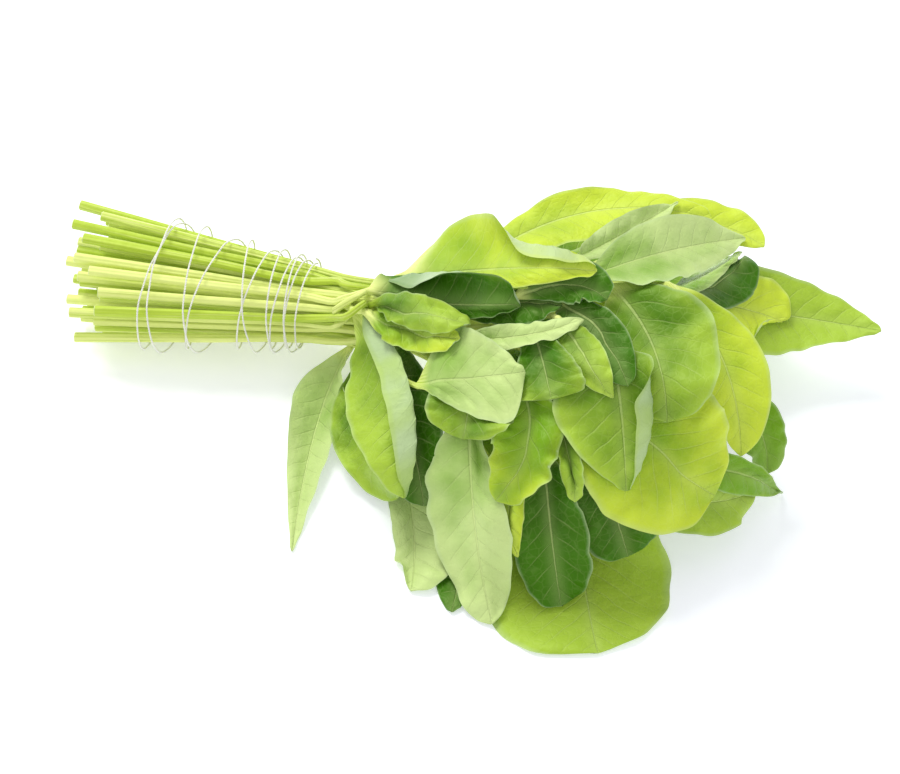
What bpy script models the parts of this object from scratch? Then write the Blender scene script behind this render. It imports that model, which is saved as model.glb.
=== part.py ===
"""A bunch of sorrel lying on its side: long pale stems held by a wound thread, and a head of broad leaves.

Every leafy stem grew as one piece, so each is one closed solid that runs from its cut end, through the thread,
to the tip of its blade. The leaves are laid one after another, from the lowest to the topmost, and each one is
lifted towards the viewer until it clears what already lies there. Lengths inside the script are millimetres.
"""

import math
import random
from typing import NamedTuple

import bmesh
import bpy
import numpy as np
from mathutils import Vector
from mathutils.bvhtree import BVHTree

# The picture that the places are read from, and the sight line through it
PICTURE_CENTRE = (450.0, 387.0)
MM_PER_PIXEL = 0.43
SIGHT_ELEVATION = math.radians(48)
SIGHT_DISTANCE = 1300.0
TARGET = np.array([0.0, 0.0, 30.0])
RIGHT = np.array([1.0, 0.0, 0.0])
TOWARDS_VIEWER = np.array([0.0, -math.cos(SIGHT_ELEVATION), math.sin(SIGHT_ELEVATION)])
PICTURE_UP = np.cross(TOWARDS_VIEWER, RIGHT)
EYE = TARGET + TOWARDS_VIEWER * SIGHT_DISTANCE

# The rounded head that the leaves make together
HEAD_CENTRE = np.array([58.0, 5.0, 0.0])
HEAD_RADII = np.array([100.0, 98.0, 80.0])
LOWEST_LIFT = -15.0
ON_TABLE = -75.0
TOPMOST_LIFT = 3.0

# Stems
CUT_CENTRE = np.array([-161.0, 76.6, 19.9])
TIE_CENTRE = np.array([-47.5, 47.5, 27.0])
STEM_SPACING = 4.2
STEM_RADIUS_CUT = 2.3
STEM_RADIUS_TIE = 1.75
STEM_RADIUS_BLADE = 1.25
SPREAD_ACROSS = 2.5
SPREAD_UP = 1.4
CUT_RAGGEDNESS = 10.0
CUT_ASTRAY = 0.5
STEM_RINGS_LEFT = (0.0, 0.5, 0.9, 1.0)
STEM_RINGS_RIGHT = (0.14, 0.36, 0.6, 0.82)
NEAREST_SAMPLE = 0.6

# Blades
BLADE_THICKNESS = 1.0
RIB_DEPTH_TIP = 0.55
BLADE_RINGS = (0.0, 0.09, 0.22, 0.36, 0.5, 0.64, 0.78, 0.9, 0.97, 1.0)
ACROSS = (-1.0, -0.5, 0.0, 0.5, 1.0)

# Laying a leaf on those before it
CLEARANCE = 1.4
STEM_CLEARANCE = 0.45
LOOK_FROM = 400.0
HIDDEN_BY = 0.4
STEEPEST = 0.5
SPREADING = 0.8
GIVING_WAY = 0.6
LEAST_SHARE = 0.05
CROSSING_STEP = 0.7
ROUNDS = 70
PATIENCE = 40
SAMPLES = (0.04, 0.34, 0.66, 0.96)

# Thread
THREAD_RADIUS = 0.45
THREAD_GAP = 0.8
THREAD_SIDES = 5
THREAD_STEPS = 20
THREAD_TURNS = (0.0, 1.0, 2.2, 3.2, 4.2, 5.0, 5.5, 6.2, 7.4, 8.4, 9.8, 11.0)
THREAD_PLACES = (0.88, 0.84, 0.79, 0.68, 0.5, 0.31, 0.27, 0.31, 0.47, 0.7, 0.8, 0.87)
THREAD_BACK = 5.5
FLAT_BELOW = 0.6
LYING_BELOW = 10.0

SEED = 11


class Leaf(NamedTuple):
    """One leaf: picture points where the blade begins, bends and ends, and its shape in millimetres and degrees.

    Pairs are for the left and the right half, as seen by someone who walks from the base to the tip on the side
    that faces the viewer. A bend lifts a half towards the viewer, and a curl turns its outer part further. A curl
    begins at the share curl_from of the blade's length, and fades towards the tip when that is below zero.
    """

    name: str
    base: tuple
    middle: tuple
    tip: tuple
    half_width: tuple
    widest: tuple = (0.5, 0.5)
    bend: tuple = (10.0, 10.0)
    curl: tuple = (0.0, 0.0)
    curl_from: float = 0.0
    roll: float = 0.0
    wave: float = 1.2
    point: float = 0.0
    lift: float = 0.0
    tone: str = "green"


LEAVES = (
    # Leaves that lie lowest and furthest from the viewer
    Leaf("under_far_1", (430, 320), (490, 290), (548, 262), (24, 24), lift=ON_TABLE),
    Leaf("under_far_2", (440, 315), (535, 275), (625, 245), (25, 25), lift=ON_TABLE),
    Leaf("under_far_3", (470, 320), (600, 285), (705, 264), (24, 24), lift=ON_TABLE),
    Leaf("under_mid_1", (470, 335), (560, 330), (650, 320), (25, 25), lift=-55),
    Leaf("under_mid_2", (480, 345), (600, 350), (715, 345), (25, 25), lift=-36),
    Leaf("under_near_1", (450, 370), (520, 430), (560, 500), (25, 25), lift=-38),
    Leaf("under_near_2", (470, 360), (570, 415), (650, 470), (27, 27), lift=-34),
    # Leaves whose ends show round the edge of the head
    Leaf(
        "far_back", (600, 262), (688, 224), (764, 247), (14, 13), (0.45, 0.6), lift=-4, point=0.2,
        tone="lime",
    ),
    Leaf("far_upright", (478, 262), (590, 212), (712, 219), (12, 18), (0.35, 0.5), wave=2.2, tone="lime"),
    Leaf("right_point", (668, 302), (775, 314), (881, 331), (20, 21), (0.4, 0.38), (16, 4), point=0.6),
    Leaf(
        "right_round", (690, 298), (742, 308), (782, 322), (16, 17), (0.65, 0.6), (18, 4), wave=2.0,
        tone="lime",
    ),
    Leaf("right_dark", (655, 300), (712, 287), (745, 256), (4, 14), (0.5, 0.65), tone="deep"),
    Leaf("right_strip", (655, 302), (702, 279), (742, 252), (5, 5), bend=(24, 10), point=0.7, tone="pale"),
    Leaf(
        "left_drooping", (352, 346), (317, 425), (292, 551), (15, 14), (0.42, 0.38), (32, 34),
        point=0.7, tone="pale",
    ),
    Leaf("right_low", (700, 395), (753, 420), (767, 474), (11, 12), (0.6, 0.6), (16, 16), tone="pale"),
    Leaf("right_flat", (600, 472), (690, 501), (756, 489), (13, 14), wave=2.0),
    Leaf("right_small", (655, 455), (725, 471), (782, 493), (9, 9), bend=(34, 8), point=0.6, tone="lime"),
    Leaf("near_broad", (572, 450), (580, 555), (598, 653), (37, 42), (0.6, 0.72), (0, 0), wave=2.0, lift=-12),
    Leaf("near_inner", (588, 440), (612, 505), (628, 556), (17, 17), (0.6, 0.6), tone="deep"),
    Leaf("near_dark", (500, 500), (468, 560), (452, 612), (12, 13), point=0.4, tone="deep"),
    Leaf(
        "near_left_pale", (395, 440), (413, 520), (411, 591), (18, 10), (0.66, 0.5), (4, 20), point=0.2,
        wave=2.4, tone="pale",
    ),
    Leaf("left_fill", (384, 332), (408, 420), (424, 506), (16, 16), tone="deep"),
    Leaf(
        "near_oval", (543, 440), (551, 530), (561, 606), (16, 16), (0.6, 0.62), (10, 7), wave=2.2,
        tone="deep",
    ),
    Leaf(
        "right_long", (668, 288), (722, 358), (741, 456), (17, 15), (0.55, 0.5), (14, 4), point=0.2,
        tone="lime",
    ),
    Leaf(
        "low_broad", (598, 386), (647, 442), (716, 494), (33, 34), (0.52, 0.55), (8, 6), (16, 0),
        wave=2.8, tone="lime",
    ),
    Leaf("near_slip", (514, 455), (509, 505), (518, 557), (7, 7), (0.4, 0.4), point=0.6, tone="lime"),
    Leaf(
        "near_long", (470, 405), (474, 515), (492, 624), (15, 24), (0.66, 0.34), (-34, -24), point=0.2,
        wave=2.4, tone="pale",
    ),
    Leaf("near_edge", (545, 395), (565, 442), (575, 502), (7, 7), bend=(34, 30), roll=10),
    Leaf("near_ruffled", (521, 388), (528, 440), (496, 501), (15, 15), (0.45, 0.4), wave=4.5, tone="lime"),
    Leaf("under_fold", (472, 350), (470, 395), (463, 439), (20, 18), (0.7, 0.66), (6, 6)),
    Leaf(
        "left_under", (372, 350), (360, 425), (400, 496), (12, 14), (0.6, 0.6), (20, 10), point=0.2,
        wave=2.0,
    ),
    Leaf("top_upper", (566, 264), (620, 236), (678, 202), (8, 9), bend=(32, 12), point=0.7, tone="pale"),
    Leaf("mid_round", (610, 286), (652, 344), (667, 422), (27, 25), (0.5, 0.6), (14, 6), wave=2.4),
    Leaf(
        "centre_folded", (610, 338), (621, 410), (626, 491), (26, 29), (0.5, 0.45), (12, 2), (115, 0), 0.2,
        point=0.6, wave=0.6,
    ),
    Leaf("centre_dark", (552, 300), (598, 332), (628, 386), (10, 14), bend=(26, 14), tone="deep"),
    Leaf("centre_green", (560, 318), (584, 355), (613, 398), (9, 9), bend=(26, 8), point=0.5),
    Leaf(
        "top_broad", (582, 280), (662, 253), (745, 238), (16, 16), (0.55, 0.42), (14, 8), point=0.5,
        tone="pale",
    ),
    Leaf("centre_square", (530, 322), (543, 362), (551, 400), (15, 14), (0.9, 0.9), (6, 6), wave=2.0),
    Leaf("centre_inner", (462, 316), (512, 305), (562, 306), (9, 10), bend=(24, 10), tone="deep"),
    Leaf(
        "pale_strip", (450, 338), (516, 337), (584, 320), (6, 7), bend=(28, 20), roll=10, point=0.5,
        tone="pale",
    ),
    Leaf(
        "centre_bright", (417, 386), (468, 379), (525, 372), (25, 20), (0.3, 0.85), (-8, -12),
        point=0.6, wave=1.8, tone="pale",
    ),
    Leaf(
        "left_folded", (356, 313), (393, 396), (403, 497), (24, 22), (0.42, 0.5), (26, 4), (140, 0),
        point=0.3, wave=1.8,
    ),
    Leaf(
        "tie_lower", (368, 316), (412, 333), (460, 338), (8, 8), (0.35, 0.45), bend=(30, 4), wave=2.2,
        tone="lime",
    ),
    Leaf("top_inner", (514, 298), (570, 285), (607, 300), (12, 9), bend=(24, 8), tone="deep"),
    Leaf("upper_edge", (398, 292), (448, 272), (528, 288), (8, 8), bend=(12, 10)),
    Leaf(
        "upper_curled", (406, 277), (500, 270), (597, 271), (25, 8), (0.28, 0.4), (8, 8), (145, 0),
        0.42, wave=2.0, tone="lime",
    ),
    Leaf(
        "upper_cupped", (368, 291), (444, 302), (520, 306), (25, 8), (0.45, 0.5), (14, 14), (140, 14),
        -0.3, wave=1.8,
    ),
    Leaf("tie_small", (372, 303), (418, 314), (470, 325), (9, 8), (0.4, 0.5), bend=(34, 16), wave=1.8),
)


def unit(vector):
    """The vector at length one."""
    return vector / np.linalg.norm(vector)


def seen_on_head(pixel, lift):
    """The place where the sight line through a picture point meets the head, lifted off it, or else the table."""
    across = (pixel[0] - PICTURE_CENTRE[0]) * MM_PER_PIXEL
    up = (PICTURE_CENTRE[1] - pixel[1]) * MM_PER_PIXEL
    direction = unit(TARGET + across * RIGHT + up * PICTURE_UP - EYE)
    radii = HEAD_RADII + lift
    start = (EYE - HEAD_CENTRE) / radii
    step = direction / radii
    a, b, c = step @ step, start @ step, start @ start - 1.0
    reach = (-b - math.sqrt(max(b * b - a * c, 0.0))) / a
    place = EYE + direction * reach
    table = max(0.9, 0.15 * (lift - LOWEST_LIFT))
    if place[2] < table or lift <= ON_TABLE:
        place = EYE + direction * (table - EYE[2]) / direction[2]
    return place


def outline(share, widest, point):
    """Half width of a blade at a share of its length, as a share of the largest."""
    if share < widest:
        return math.sin(0.5 * math.pi * share / widest) ** (0.85 + 0.45 * point)
    return max(0.0, 1.0 - ((share - widest) / (1.0 - widest)) ** (2.3 - 1.1 * point)) ** (0.5 + 0.5 * point)


def slots():
    """Places of the stems in the tied bundle, as (towards the picture's top, towards the viewer), row by row."""
    found = []
    for row in range(-6, 7):
        for column in range(-6, 7):
            up = (column + 0.5 * (row % 2)) * STEM_SPACING
            found.append((row, up, row * STEM_SPACING * math.sqrt(0.75)))
    found.sort(key=lambda slot: math.hypot(slot[1] - 1.0, slot[2] - 0.7))
    return sorted(found[: len(LEAVES)])


def slots_by_leaf():
    """The slot of each leaf: rows fill from the far side, and in each row the stems fan out in order."""
    rows = {}
    for slot in slots():
        rows.setdefault(slot[0], []).append(slot)
    tie_pixel = (325, 308)
    taken = {}
    first = 0
    for row in sorted(rows):
        group = LEAVES[first : first + len(rows[row])]
        first += len(group)
        fan = sorted(
            group,
            key=lambda leaf: math.atan2(leaf.middle[1] - tie_pixel[1], leaf.middle[0] - tie_pixel[0]),
            reverse=True,
        )
        for leaf, slot in zip(fan, sorted(rows[row], key=lambda s: s[1])):
            taken[leaf.name] = slot[1:]
    return taken


def stem_ends(slot, draw):
    """Centre of a stem at its cut end and at the tie."""
    axis = unit(TIE_CENTRE - CUT_CENTRE)
    up = unit(PICTURE_UP - (PICTURE_UP @ axis) * axis)
    out = unit(TOWARDS_VIEWER - (TOWARDS_VIEWER @ axis) * axis)
    offset = slot[0] * up + slot[1] * out
    spread = offset * np.array([1.0, SPREAD_ACROSS, SPREAD_UP])
    ragged = draw.uniform(-CUT_RAGGEDNESS, CUT_RAGGEDNESS)
    astray = draw.uniform(-CUT_ASTRAY, CUT_ASTRAY) * up + draw.uniform(-CUT_ASTRAY, CUT_ASTRAY) * 0.6 * out
    return CUT_CENTRE + spread + astray - axis * ragged, TIE_CENTRE + offset


def patch_weights(s, t, left):
    """Shares of a patch's four corners at a point inside it, on the two triangles that the patch is split into."""
    if left:
        return (1 - t, t - s, 0.0, s) if t >= s else (1 - s, 0.0, s - t, t)
    return (1 - s - t, t, s, 0.0) if s + t <= 1 else (0.0, 1 - s, 1 - t, s + t - 1)


def bent(start, middle, end, share):
    """A point on the curve through three points."""
    far = 2.0 * middle - 0.5 * (start + end)
    return (1 - share) ** 2 * start + 2 * share * (1 - share) * far + share**2 * end


class LeafyStem:
    """The centre line, the frames and the mid surface of one leafy stem, while it is being laid."""

    def __init__(self, leaf, lift, slot, draw):
        self.leaf = leaf
        self.cut, self.tie = stem_ends(slot, draw)
        lift = lift + leaf.lift if leaf.lift > LOWEST_LIFT else leaf.lift
        places = [seen_on_head(pixel, lift) for pixel in (leaf.base, leaf.middle, leaf.tip)]
        spine = [bent(*places, share) for share in BLADE_RINGS]
        left = [self.cut + (self.tie - self.cut) * share for share in STEM_RINGS_LEFT]
        reach = np.linalg.norm(places[0] - self.tie)
        leaving = unit(self.tie - self.cut) * reach * 0.9
        arriving = unit(spine[1] - spine[0]) * min(reach, 40.0) * 0.9
        right = [self.hermite(self.tie, leaving, places[0], arriving, share) for share in STEM_RINGS_RIGHT]
        self.centres = np.array(left + right + spine)
        self.first_free = len(left) - 1
        self.first_blade = len(left) + len(right)
        self.frames()
        self.surface = self.lay_out()

    @staticmethod
    def hermite(start, leaving, end, arriving, share):
        """A point on the smooth curve with the given ends and end directions."""
        s2, s3 = share**2, share**3
        return (
            (2 * s3 - 3 * s2 + 1) * start
            + (s3 - 2 * s2 + share) * leaving
            + (3 * s2 - 2 * s3) * end
            + (s3 - s2) * arriving
        )

    def frames(self):
        """Side vectors: across the blade from its roll, then carried back along the stem without twisting."""
        count = len(self.centres)
        tangents = np.array([
            unit(self.centres[min(i + 1, count - 1)] - self.centres[max(i - 1, 0)]) for i in range(count)
        ])
        self.sides = np.zeros((count, 3))
        roll = math.radians(self.leaf.roll)
        for i in range(self.first_blade, count):
            out = unit((self.centres[i] - HEAD_CENTRE) / HEAD_RADII**2)
            lying = max(0.0, 1.0 - self.centres[i][2] / LYING_BELOW)
            facing = unit((1.0 - lying) * (out + 1.2 * TOWARDS_VIEWER) + np.array([0.0, 0.0, 3.0 * lying]))
            side = unit(np.cross(tangents[i], facing))
            normal = np.cross(side, tangents[i])
            self.sides[i] = math.cos(roll) * side + math.sin(roll) * normal
        for i in range(self.first_blade - 1, -1, -1):
            side = self.sides[i + 1] - (self.sides[i + 1] @ tangents[i]) * tangents[i]
            self.sides[i] = unit(side)
        self.normals = np.cross(self.sides, tangents)

    def stem_radius(self, ring):
        """Radius of the stem at a ring left of the blade."""
        if ring < len(STEM_RINGS_LEFT):
            share = STEM_RINGS_LEFT[ring]
            return STEM_RADIUS_CUT + (STEM_RADIUS_TIE - STEM_RADIUS_CUT) * share
        share = STEM_RINGS_RIGHT[ring - len(STEM_RINGS_LEFT)]
        return STEM_RADIUS_TIE + (STEM_RADIUS_BLADE - STEM_RADIUS_TIE) * share

    def lay_out(self):
        """The mid surface, ring by ring, five points across, left edge first."""
        leaf = self.leaf
        surface = np.zeros((len(self.centres), len(ACROSS), 3))
        self.half_thickness = np.full((len(self.centres), len(ACROSS)), BLADE_THICKNESS / 2)
        self.radii = np.zeros(len(self.centres))
        for i, centre in enumerate(self.centres):
            if i < self.first_blade:
                radius = self.stem_radius(i)
                self.radii[i] = radius
                self.half_thickness[i] = radius
                surface[i] = centre
                continue
            share = BLADE_RINGS[i - self.first_blade]
            self.radii[i] = STEM_RADIUS_BLADE + (RIB_DEPTH_TIP - STEM_RADIUS_BLADE) * share
            self.half_thickness[i, 2] = self.radii[i]
            phase = 1.6 * share + 0.13 * leaf.half_width[0]
            ripple = leaf.wave * math.sin(2 * math.pi * phase) * min(1.0, 4 * share)
            swell = min(1.0, 4.0 * max(0.0, share - max(0.0, leaf.curl_from)), 6.0 * (1.0 - share) + 0.3)
            swell *= min(1.0, max(0.0, 1.0 + 3.0 * min(0.0, leaf.curl_from) * (share - 0.3)))
            surface[i, 2] = centre
            for hand, sign in ((0, -1), (1, 1)):
                width = leaf.half_width[hand] * outline(share, leaf.widest[hand], leaf.point)
                width = max(STEM_RADIUS_BLADE if share < 0.5 else 0.12 * leaf.half_width[hand], width)
                inner = math.radians(leaf.bend[hand])
                outer = inner + math.radians(leaf.curl[hand]) * swell
                half = 0.5 * width * (sign * math.cos(inner) * self.sides[i] + math.sin(inner) * self.normals[i])
                edge = 0.5 * width * (sign * math.cos(outer) * self.sides[i] + math.sin(outer) * self.normals[i])
                edge = edge - sign * ripple * self.normals[i]
                surface[i, 2 + sign] = centre + half
                surface[i, 2 + 2 * sign] = centre + half + edge
        return surface

    def needed(self, tree):
        """How far each point has to rise towards the viewer, and to give way sideways, to clear what lies below."""
        rise = np.zeros(self.surface.shape[:2])
        push = np.zeros(self.surface.shape)
        for i in range(self.first_free, len(self.surface)):
            columns = range(len(ACROSS) - 1) if i >= self.first_blade else (1,)
            for j in columns:
                for s in SAMPLES:
                    if i == self.first_free and s < NEAREST_SAMPLE:
                        continue
                    for t in SAMPLES:
                        self.sample(tree, rise, push, (i - 1, j, s, t))
        rise[: self.first_free] = 0.0
        push[: self.first_free] = 0.0
        return rise, push

    def sample(self, tree, rise, push, place):
        """Raises the rise and the push of a patch's four corners for one point inside the patch."""
        i, j, s, t = place
        corners = ((i, j), (i, j + 1), (i + 1, j), (i + 1, j + 1))
        weights = patch_weights(s, t, j < 2)
        point = sum(w * self.surface[c] for w, c in zip(weights, corners))
        thick = sum(w * self.half_thickness[c] for w, c in zip(weights, corners))
        stem = self.first_blade > i + 1
        clear = thick + (STEM_CLEARANCE if stem else CLEARANCE - BLADE_THICKNESS / 2)
        towards = unit(EYE - point)
        short = max(0.0, (thick + 0.02 - point[2]) / towards[2])
        aside = np.zeros(3)
        if tree:
            start = Vector(point + towards * LOOK_FROM)
            hit, _, _, far = tree.ray_cast(start, Vector(-towards), 2 * LOOK_FROM)
            if hit is not None:
                short = max(short, LOOK_FROM - far + HIDDEN_BY * clear)
            near, _, _, gap = tree.find_nearest(Vector(point), clear)
            if near is not None and gap < clear:
                away = (point - np.array(near)) / max(gap, 1e-6)
                facing = float(away @ towards)
                if facing > STEEPEST or gap < LEAST_SHARE:
                    short = max(short, (clear - gap) / max(STEEPEST, facing))
                elif short <= 0.0:
                    aside = (clear - gap) * unit(away - facing * towards)
        for weight, corner in zip(weights, corners):
            if weight > LEAST_SHARE:
                rise[corner] = max(rise[corner], short * min(1.0, 0.6 + weight))
                if aside @ aside > push[corner] @ push[corner]:
                    push[corner] = aside

    def crossed(self, tree):
        """A small rise at every point of the patches that still touch what lies below."""
        rise = np.zeros(self.surface.shape[:2])
        if tree:
            shell = [Vector(rested(p)) for ring in self.rings() for p in ring]
            mine = BVHTree.FromPolygons(shell, self.triangles())
            for face, _ in mine.overlap(tree):
                ring, around = face // 16, face % 16 // 2
                if ring < self.first_free - 1:
                    continue
                column = around if around < 4 else 7 - around
                rise[ring : ring + 2, column : column + 2] = CROSSING_STEP
        return rise

    def settle(self, tree):
        """Lifts the leaf towards the viewer, smoothly over its surface, until it is clear everywhere."""
        for number in range(ROUNDS):
            rise, push = self.needed(tree)
            if max(rise.max(), np.abs(push).max()) < 0.01 or number > PATIENCE:
                touching = self.crossed(tree)
                if not touching.any():
                    return True
                rise = np.maximum(rise, touching)
            for _ in range(3):
                padded = np.pad(rise, 1, mode="edge")
                around = (padded[:-2, 1:-1] + padded[2:, 1:-1] + padded[1:-1, :-2] + padded[1:-1, 2:]) / 4
                rise = np.maximum(rise, SPREADING * around)
            for ring in range(self.first_free, self.first_blade):
                rise[ring] = rise[ring].max()
                push[ring] = max(push[ring], key=lambda step: step @ step)
            rise[: self.first_free] = 0.0
            towards = EYE - self.surface
            towards /= np.linalg.norm(towards, axis=2, keepdims=True)
            self.surface += towards * rise[:, :, None] + GIVING_WAY * push
        return False

    def rings(self):
        """The outer points: eight to a ring, round on the stem and a thin lens with a rib on the blade."""
        surface = self.surface
        count = len(surface)
        made = []
        for i in range(count):
            along = surface[min(i + 1, count - 1), 2] - surface[max(i - 1, 0), 2]
            along = unit(along)
            if i < self.first_blade:
                side = unit(self.sides[i] - (self.sides[i] @ along) * along)
                normal = np.cross(side, along)
                made.append([
                    surface[i, 2] + self.radii[i] * (math.cos(turn) * side + math.sin(turn) * normal)
                    for turn in [math.pi * (1 - k / 4) for k in range(8)]
                ])
                continue
            above = self.blade_normals(i)
            share = BLADE_RINGS[i - self.first_blade]
            plump = self.radii[i] * max(0.0, 1 - 4 * share)
            thick = max(BLADE_THICKNESS / 2, plump)
            rib = max(BLADE_THICKNESS / 2, self.radii[i])
            top = [surface[i, j] + above[j] * thick for j in (1, 2, 3)]
            under = [surface[i, j] - above[j] * (rib if j == 2 else thick) for j in (3, 2, 1)]
            made.append([surface[i, 0], *top, surface[i, 4], *under])
        return made

    def blade_normals(self, i):
        """Directions square to the blade at the five points of a ring."""
        surface = self.surface
        low, high = max(i - 1, self.first_blade), min(i + 1, len(surface) - 1)
        found = []
        for j in range(len(ACROSS)):
            across = surface[i, min(j + 1, 4)] - surface[i, max(j - 1, 0)]
            along = surface[high, j] - surface[low, j]
            found.append(unit(np.cross(across, along)))
        return found

    def triangles(self):
        """Faces of the closed solid, split alike above and below."""
        count = len(self.surface)
        faces = []
        for i in range(count - 1):
            for k in range(8):
                a, b = 8 * i + k, 8 * i + (k + 1) % 8
                c, d = a + 8, b + 8
                above_left = k in (0, 1, 6, 7)
                faces += [(a, b, d), (a, d, c)] if above_left == (k < 4) else [(a, b, c), (b, d, c)]
        faces += [(0, k + 1, k) for k in range(1, 7)]
        last = 8 * (count - 1)
        faces += [(last, last + k, last + k + 1) for k in range(1, 7)]
        return faces


def solid_object(name, points, faces, material):
    """A mesh object in metres, with its faces pointing out."""
    mesh = bpy.data.meshes.new(name)
    mesh.from_pydata([tuple(p) for p in np.asarray(points) / 1000.0], [], faces)
    mesh.materials.append(material)
    mesh.shade_smooth()
    mesh.set_sharp_from_angle(angle=math.radians(60))
    shape = bmesh.new()
    shape.from_mesh(mesh)
    bmesh.ops.recalc_face_normals(shape, faces=shape.faces)
    shape.to_mesh(mesh)
    shape.free()
    made = bpy.data.objects.new(name, mesh)
    bpy.context.collection.objects.link(made)
    return made


def finish(name, colour, roughness):
    """A plain material."""
    material = bpy.data.materials.new(name)
    material.use_nodes = True
    shader = material.node_tree.nodes["Principled BSDF"]
    shader.inputs["Base Color"].default_value = (*colour, 1.0)
    shader.inputs["Roughness"].default_value = roughness
    return material


def lay_leaves():
    """Lays every leafy stem on those before it. Returns them in order."""
    draw = random.Random(SEED)
    taken = slots_by_leaf()
    laid = []
    points, faces = [], []
    for number, leaf in enumerate(LEAVES):
        lift = LOWEST_LIFT + (TOPMOST_LIFT - LOWEST_LIFT) * number / len(LEAVES)
        stem = LeafyStem(leaf, lift, taken[leaf.name], draw)
        tree = BVHTree.FromPolygons([Vector(p) for p in points], faces) if faces else None
        if not stem.settle(tree):
            print("not clear:", leaf.name)
        shell = [rested(p) for ring in stem.rings() for p in ring]
        shift = len(points)
        points += shell
        faces += [tuple(shift + k for k in face) for face in stem.triangles()]
        laid.append((stem, shell))
    return laid


def rested(point):
    """A point of a leaf, pressed flat on the table if it is almost there."""
    return np.array([point[0], point[1], 0.0 if point[2] < FLAT_BELOW else point[2]])


def bundle_reach(laid, share, turn):
    """How far the bundle reaches from its centre line in one direction, at a share of the way from cut to tie."""
    axis = unit(TIE_CENTRE - CUT_CENTRE)
    up = unit(PICTURE_UP - (PICTURE_UP @ axis) * axis)
    out = np.cross(axis, up)
    centre = CUT_CENTRE + (TIE_CENTRE - CUT_CENTRE) * share
    radius = STEM_RADIUS_CUT + (STEM_RADIUS_TIE - STEM_RADIUS_CUT) * share
    flat = []
    for stem, _ in laid:
        line = stem.tie - stem.cut
        crossing = stem.cut + line * ((centre - stem.cut) @ axis) / (line @ axis)
        flat.append(((crossing - centre) @ up, (crossing - centre) @ out))
    flat = np.array(flat)
    turns = np.radians(np.arange(0, 360, 5))
    support = (flat @ np.array([np.cos(turns), np.sin(turns)])).max(axis=0) + radius
    facing = np.cos(turns - turn)
    reach = np.where(facing > 0.2, support / np.maximum(facing, 0.2), 1e9).min()
    return reach, centre, up, out


def thread_route(laid):
    """The thread's centre line: wound from near the leaves to the cut end, and back over itself."""
    route = []
    for step in range(int(THREAD_TURNS[-1] * THREAD_STEPS) + 1):
        turn = step / THREAD_STEPS
        share = float(np.interp(turn, THREAD_TURNS, THREAD_PLACES))
        angle = 2 * math.pi * turn
        around = [bundle_reach(laid, share, (angle + side) % (2 * math.pi)) for side in (-0.17, 0.0, 0.17)]
        reach = max(found[0] for found in around)
        _, centre, up, out = around[1]
        layer = THREAD_RADIUS + THREAD_GAP
        layer += min(1.0, max(0.0, 2.0 * (turn - THREAD_BACK))) * (2 * THREAD_RADIUS + THREAD_GAP)
        route.append(centre + (reach + layer) * (math.cos(angle) * up + math.sin(angle) * out))
    return np.array(route)


def tube(route, radius, sides):
    """Points and faces of a closed tube along a route."""
    points, faces = [], []
    side = None
    for i, centre in enumerate(route):
        along = unit(route[min(i + 1, len(route) - 1)] - route[max(i - 1, 0)])
        side = np.cross(along, TOWARDS_VIEWER) if side is None else side - (side @ along) * along
        side = unit(side)
        other = np.cross(along, side)
        for k in range(sides):
            turn = 2 * math.pi * k / sides
            points.append(centre + radius * (math.cos(turn) * side + math.sin(turn) * other))
    for i in range(len(route) - 1):
        for k in range(sides):
            a, b = sides * i + k, sides * i + (k + 1) % sides
            faces += [(a, b, b + sides), (a, b + sides, a + sides)]
    last = sides * (len(route) - 1)
    faces += [(0, k + 1, k) for k in range(1, sides - 1)]
    faces += [(last, last + k, last + k + 1) for k in range(1, sides - 1)]
    return points, faces


def main():
    """Builds the bunch, with its origin at the middle of its base."""
    for old in list(bpy.data.objects):
        bpy.data.objects.remove(old)
    tones = {
        "green": finish("leaf_green", (0.19, 0.42, 0.04), 0.5),
        "deep": finish("leaf_deep", (0.08, 0.27, 0.02), 0.5),
        "lime": finish("leaf_lime", (0.42, 0.6, 0.03), 0.5),
        "pale": finish("leaf_pale", (0.36, 0.55, 0.14), 0.5),
    }
    laid = lay_leaves()
    thread_points, thread_faces = tube(thread_route(laid), THREAD_RADIUS, THREAD_SIDES)
    every = np.concatenate([np.array(shell) for _, shell in laid] + [np.array(thread_points)])
    low, high = every.min(axis=0), every.max(axis=0)
    origin = np.array([(low[0] + high[0]) / 2, (low[1] + high[1]) / 2, low[2]])
    for stem, shell in laid:
        solid_object("leaf_" + stem.leaf.name, np.array(shell) - origin, stem.triangles(), tones[stem.leaf.tone])
    thread = finish("cotton_thread", (0.85, 0.84, 0.72), 0.8)
    solid_object("tie_thread", np.array(thread_points) - origin, thread_faces, thread)


main()
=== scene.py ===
"""A bunch of sorrel on a pale table: veined leaves on long grooved stems, wound with cotton thread.

The leaves are laid by the same rule as in the part's source, so each one stays where its solid is, and each
is then made again as a finer mesh. Lengths are millimetres until a mesh is made.
"""

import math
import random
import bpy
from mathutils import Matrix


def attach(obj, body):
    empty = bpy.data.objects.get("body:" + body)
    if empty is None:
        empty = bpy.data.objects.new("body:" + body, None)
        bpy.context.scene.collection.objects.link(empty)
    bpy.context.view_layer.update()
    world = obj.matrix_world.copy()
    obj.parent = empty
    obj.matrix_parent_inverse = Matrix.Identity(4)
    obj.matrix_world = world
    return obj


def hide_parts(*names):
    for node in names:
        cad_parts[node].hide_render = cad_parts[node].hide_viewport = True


bl_info = {
    "name": "Sorrel bunch",
    "version": (1, 0, 0),
    "blender": (4, 5, 0),
    "location": "3D View > Sidebar > Sorrel",
    "description": "Builds a bunch of sorrel over its packed model",
    "category": "Object",
}

from typing import NamedTuple

import bpy
import numpy as np
from mathutils import Vector
from mathutils.bvhtree import BVHTree

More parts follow.
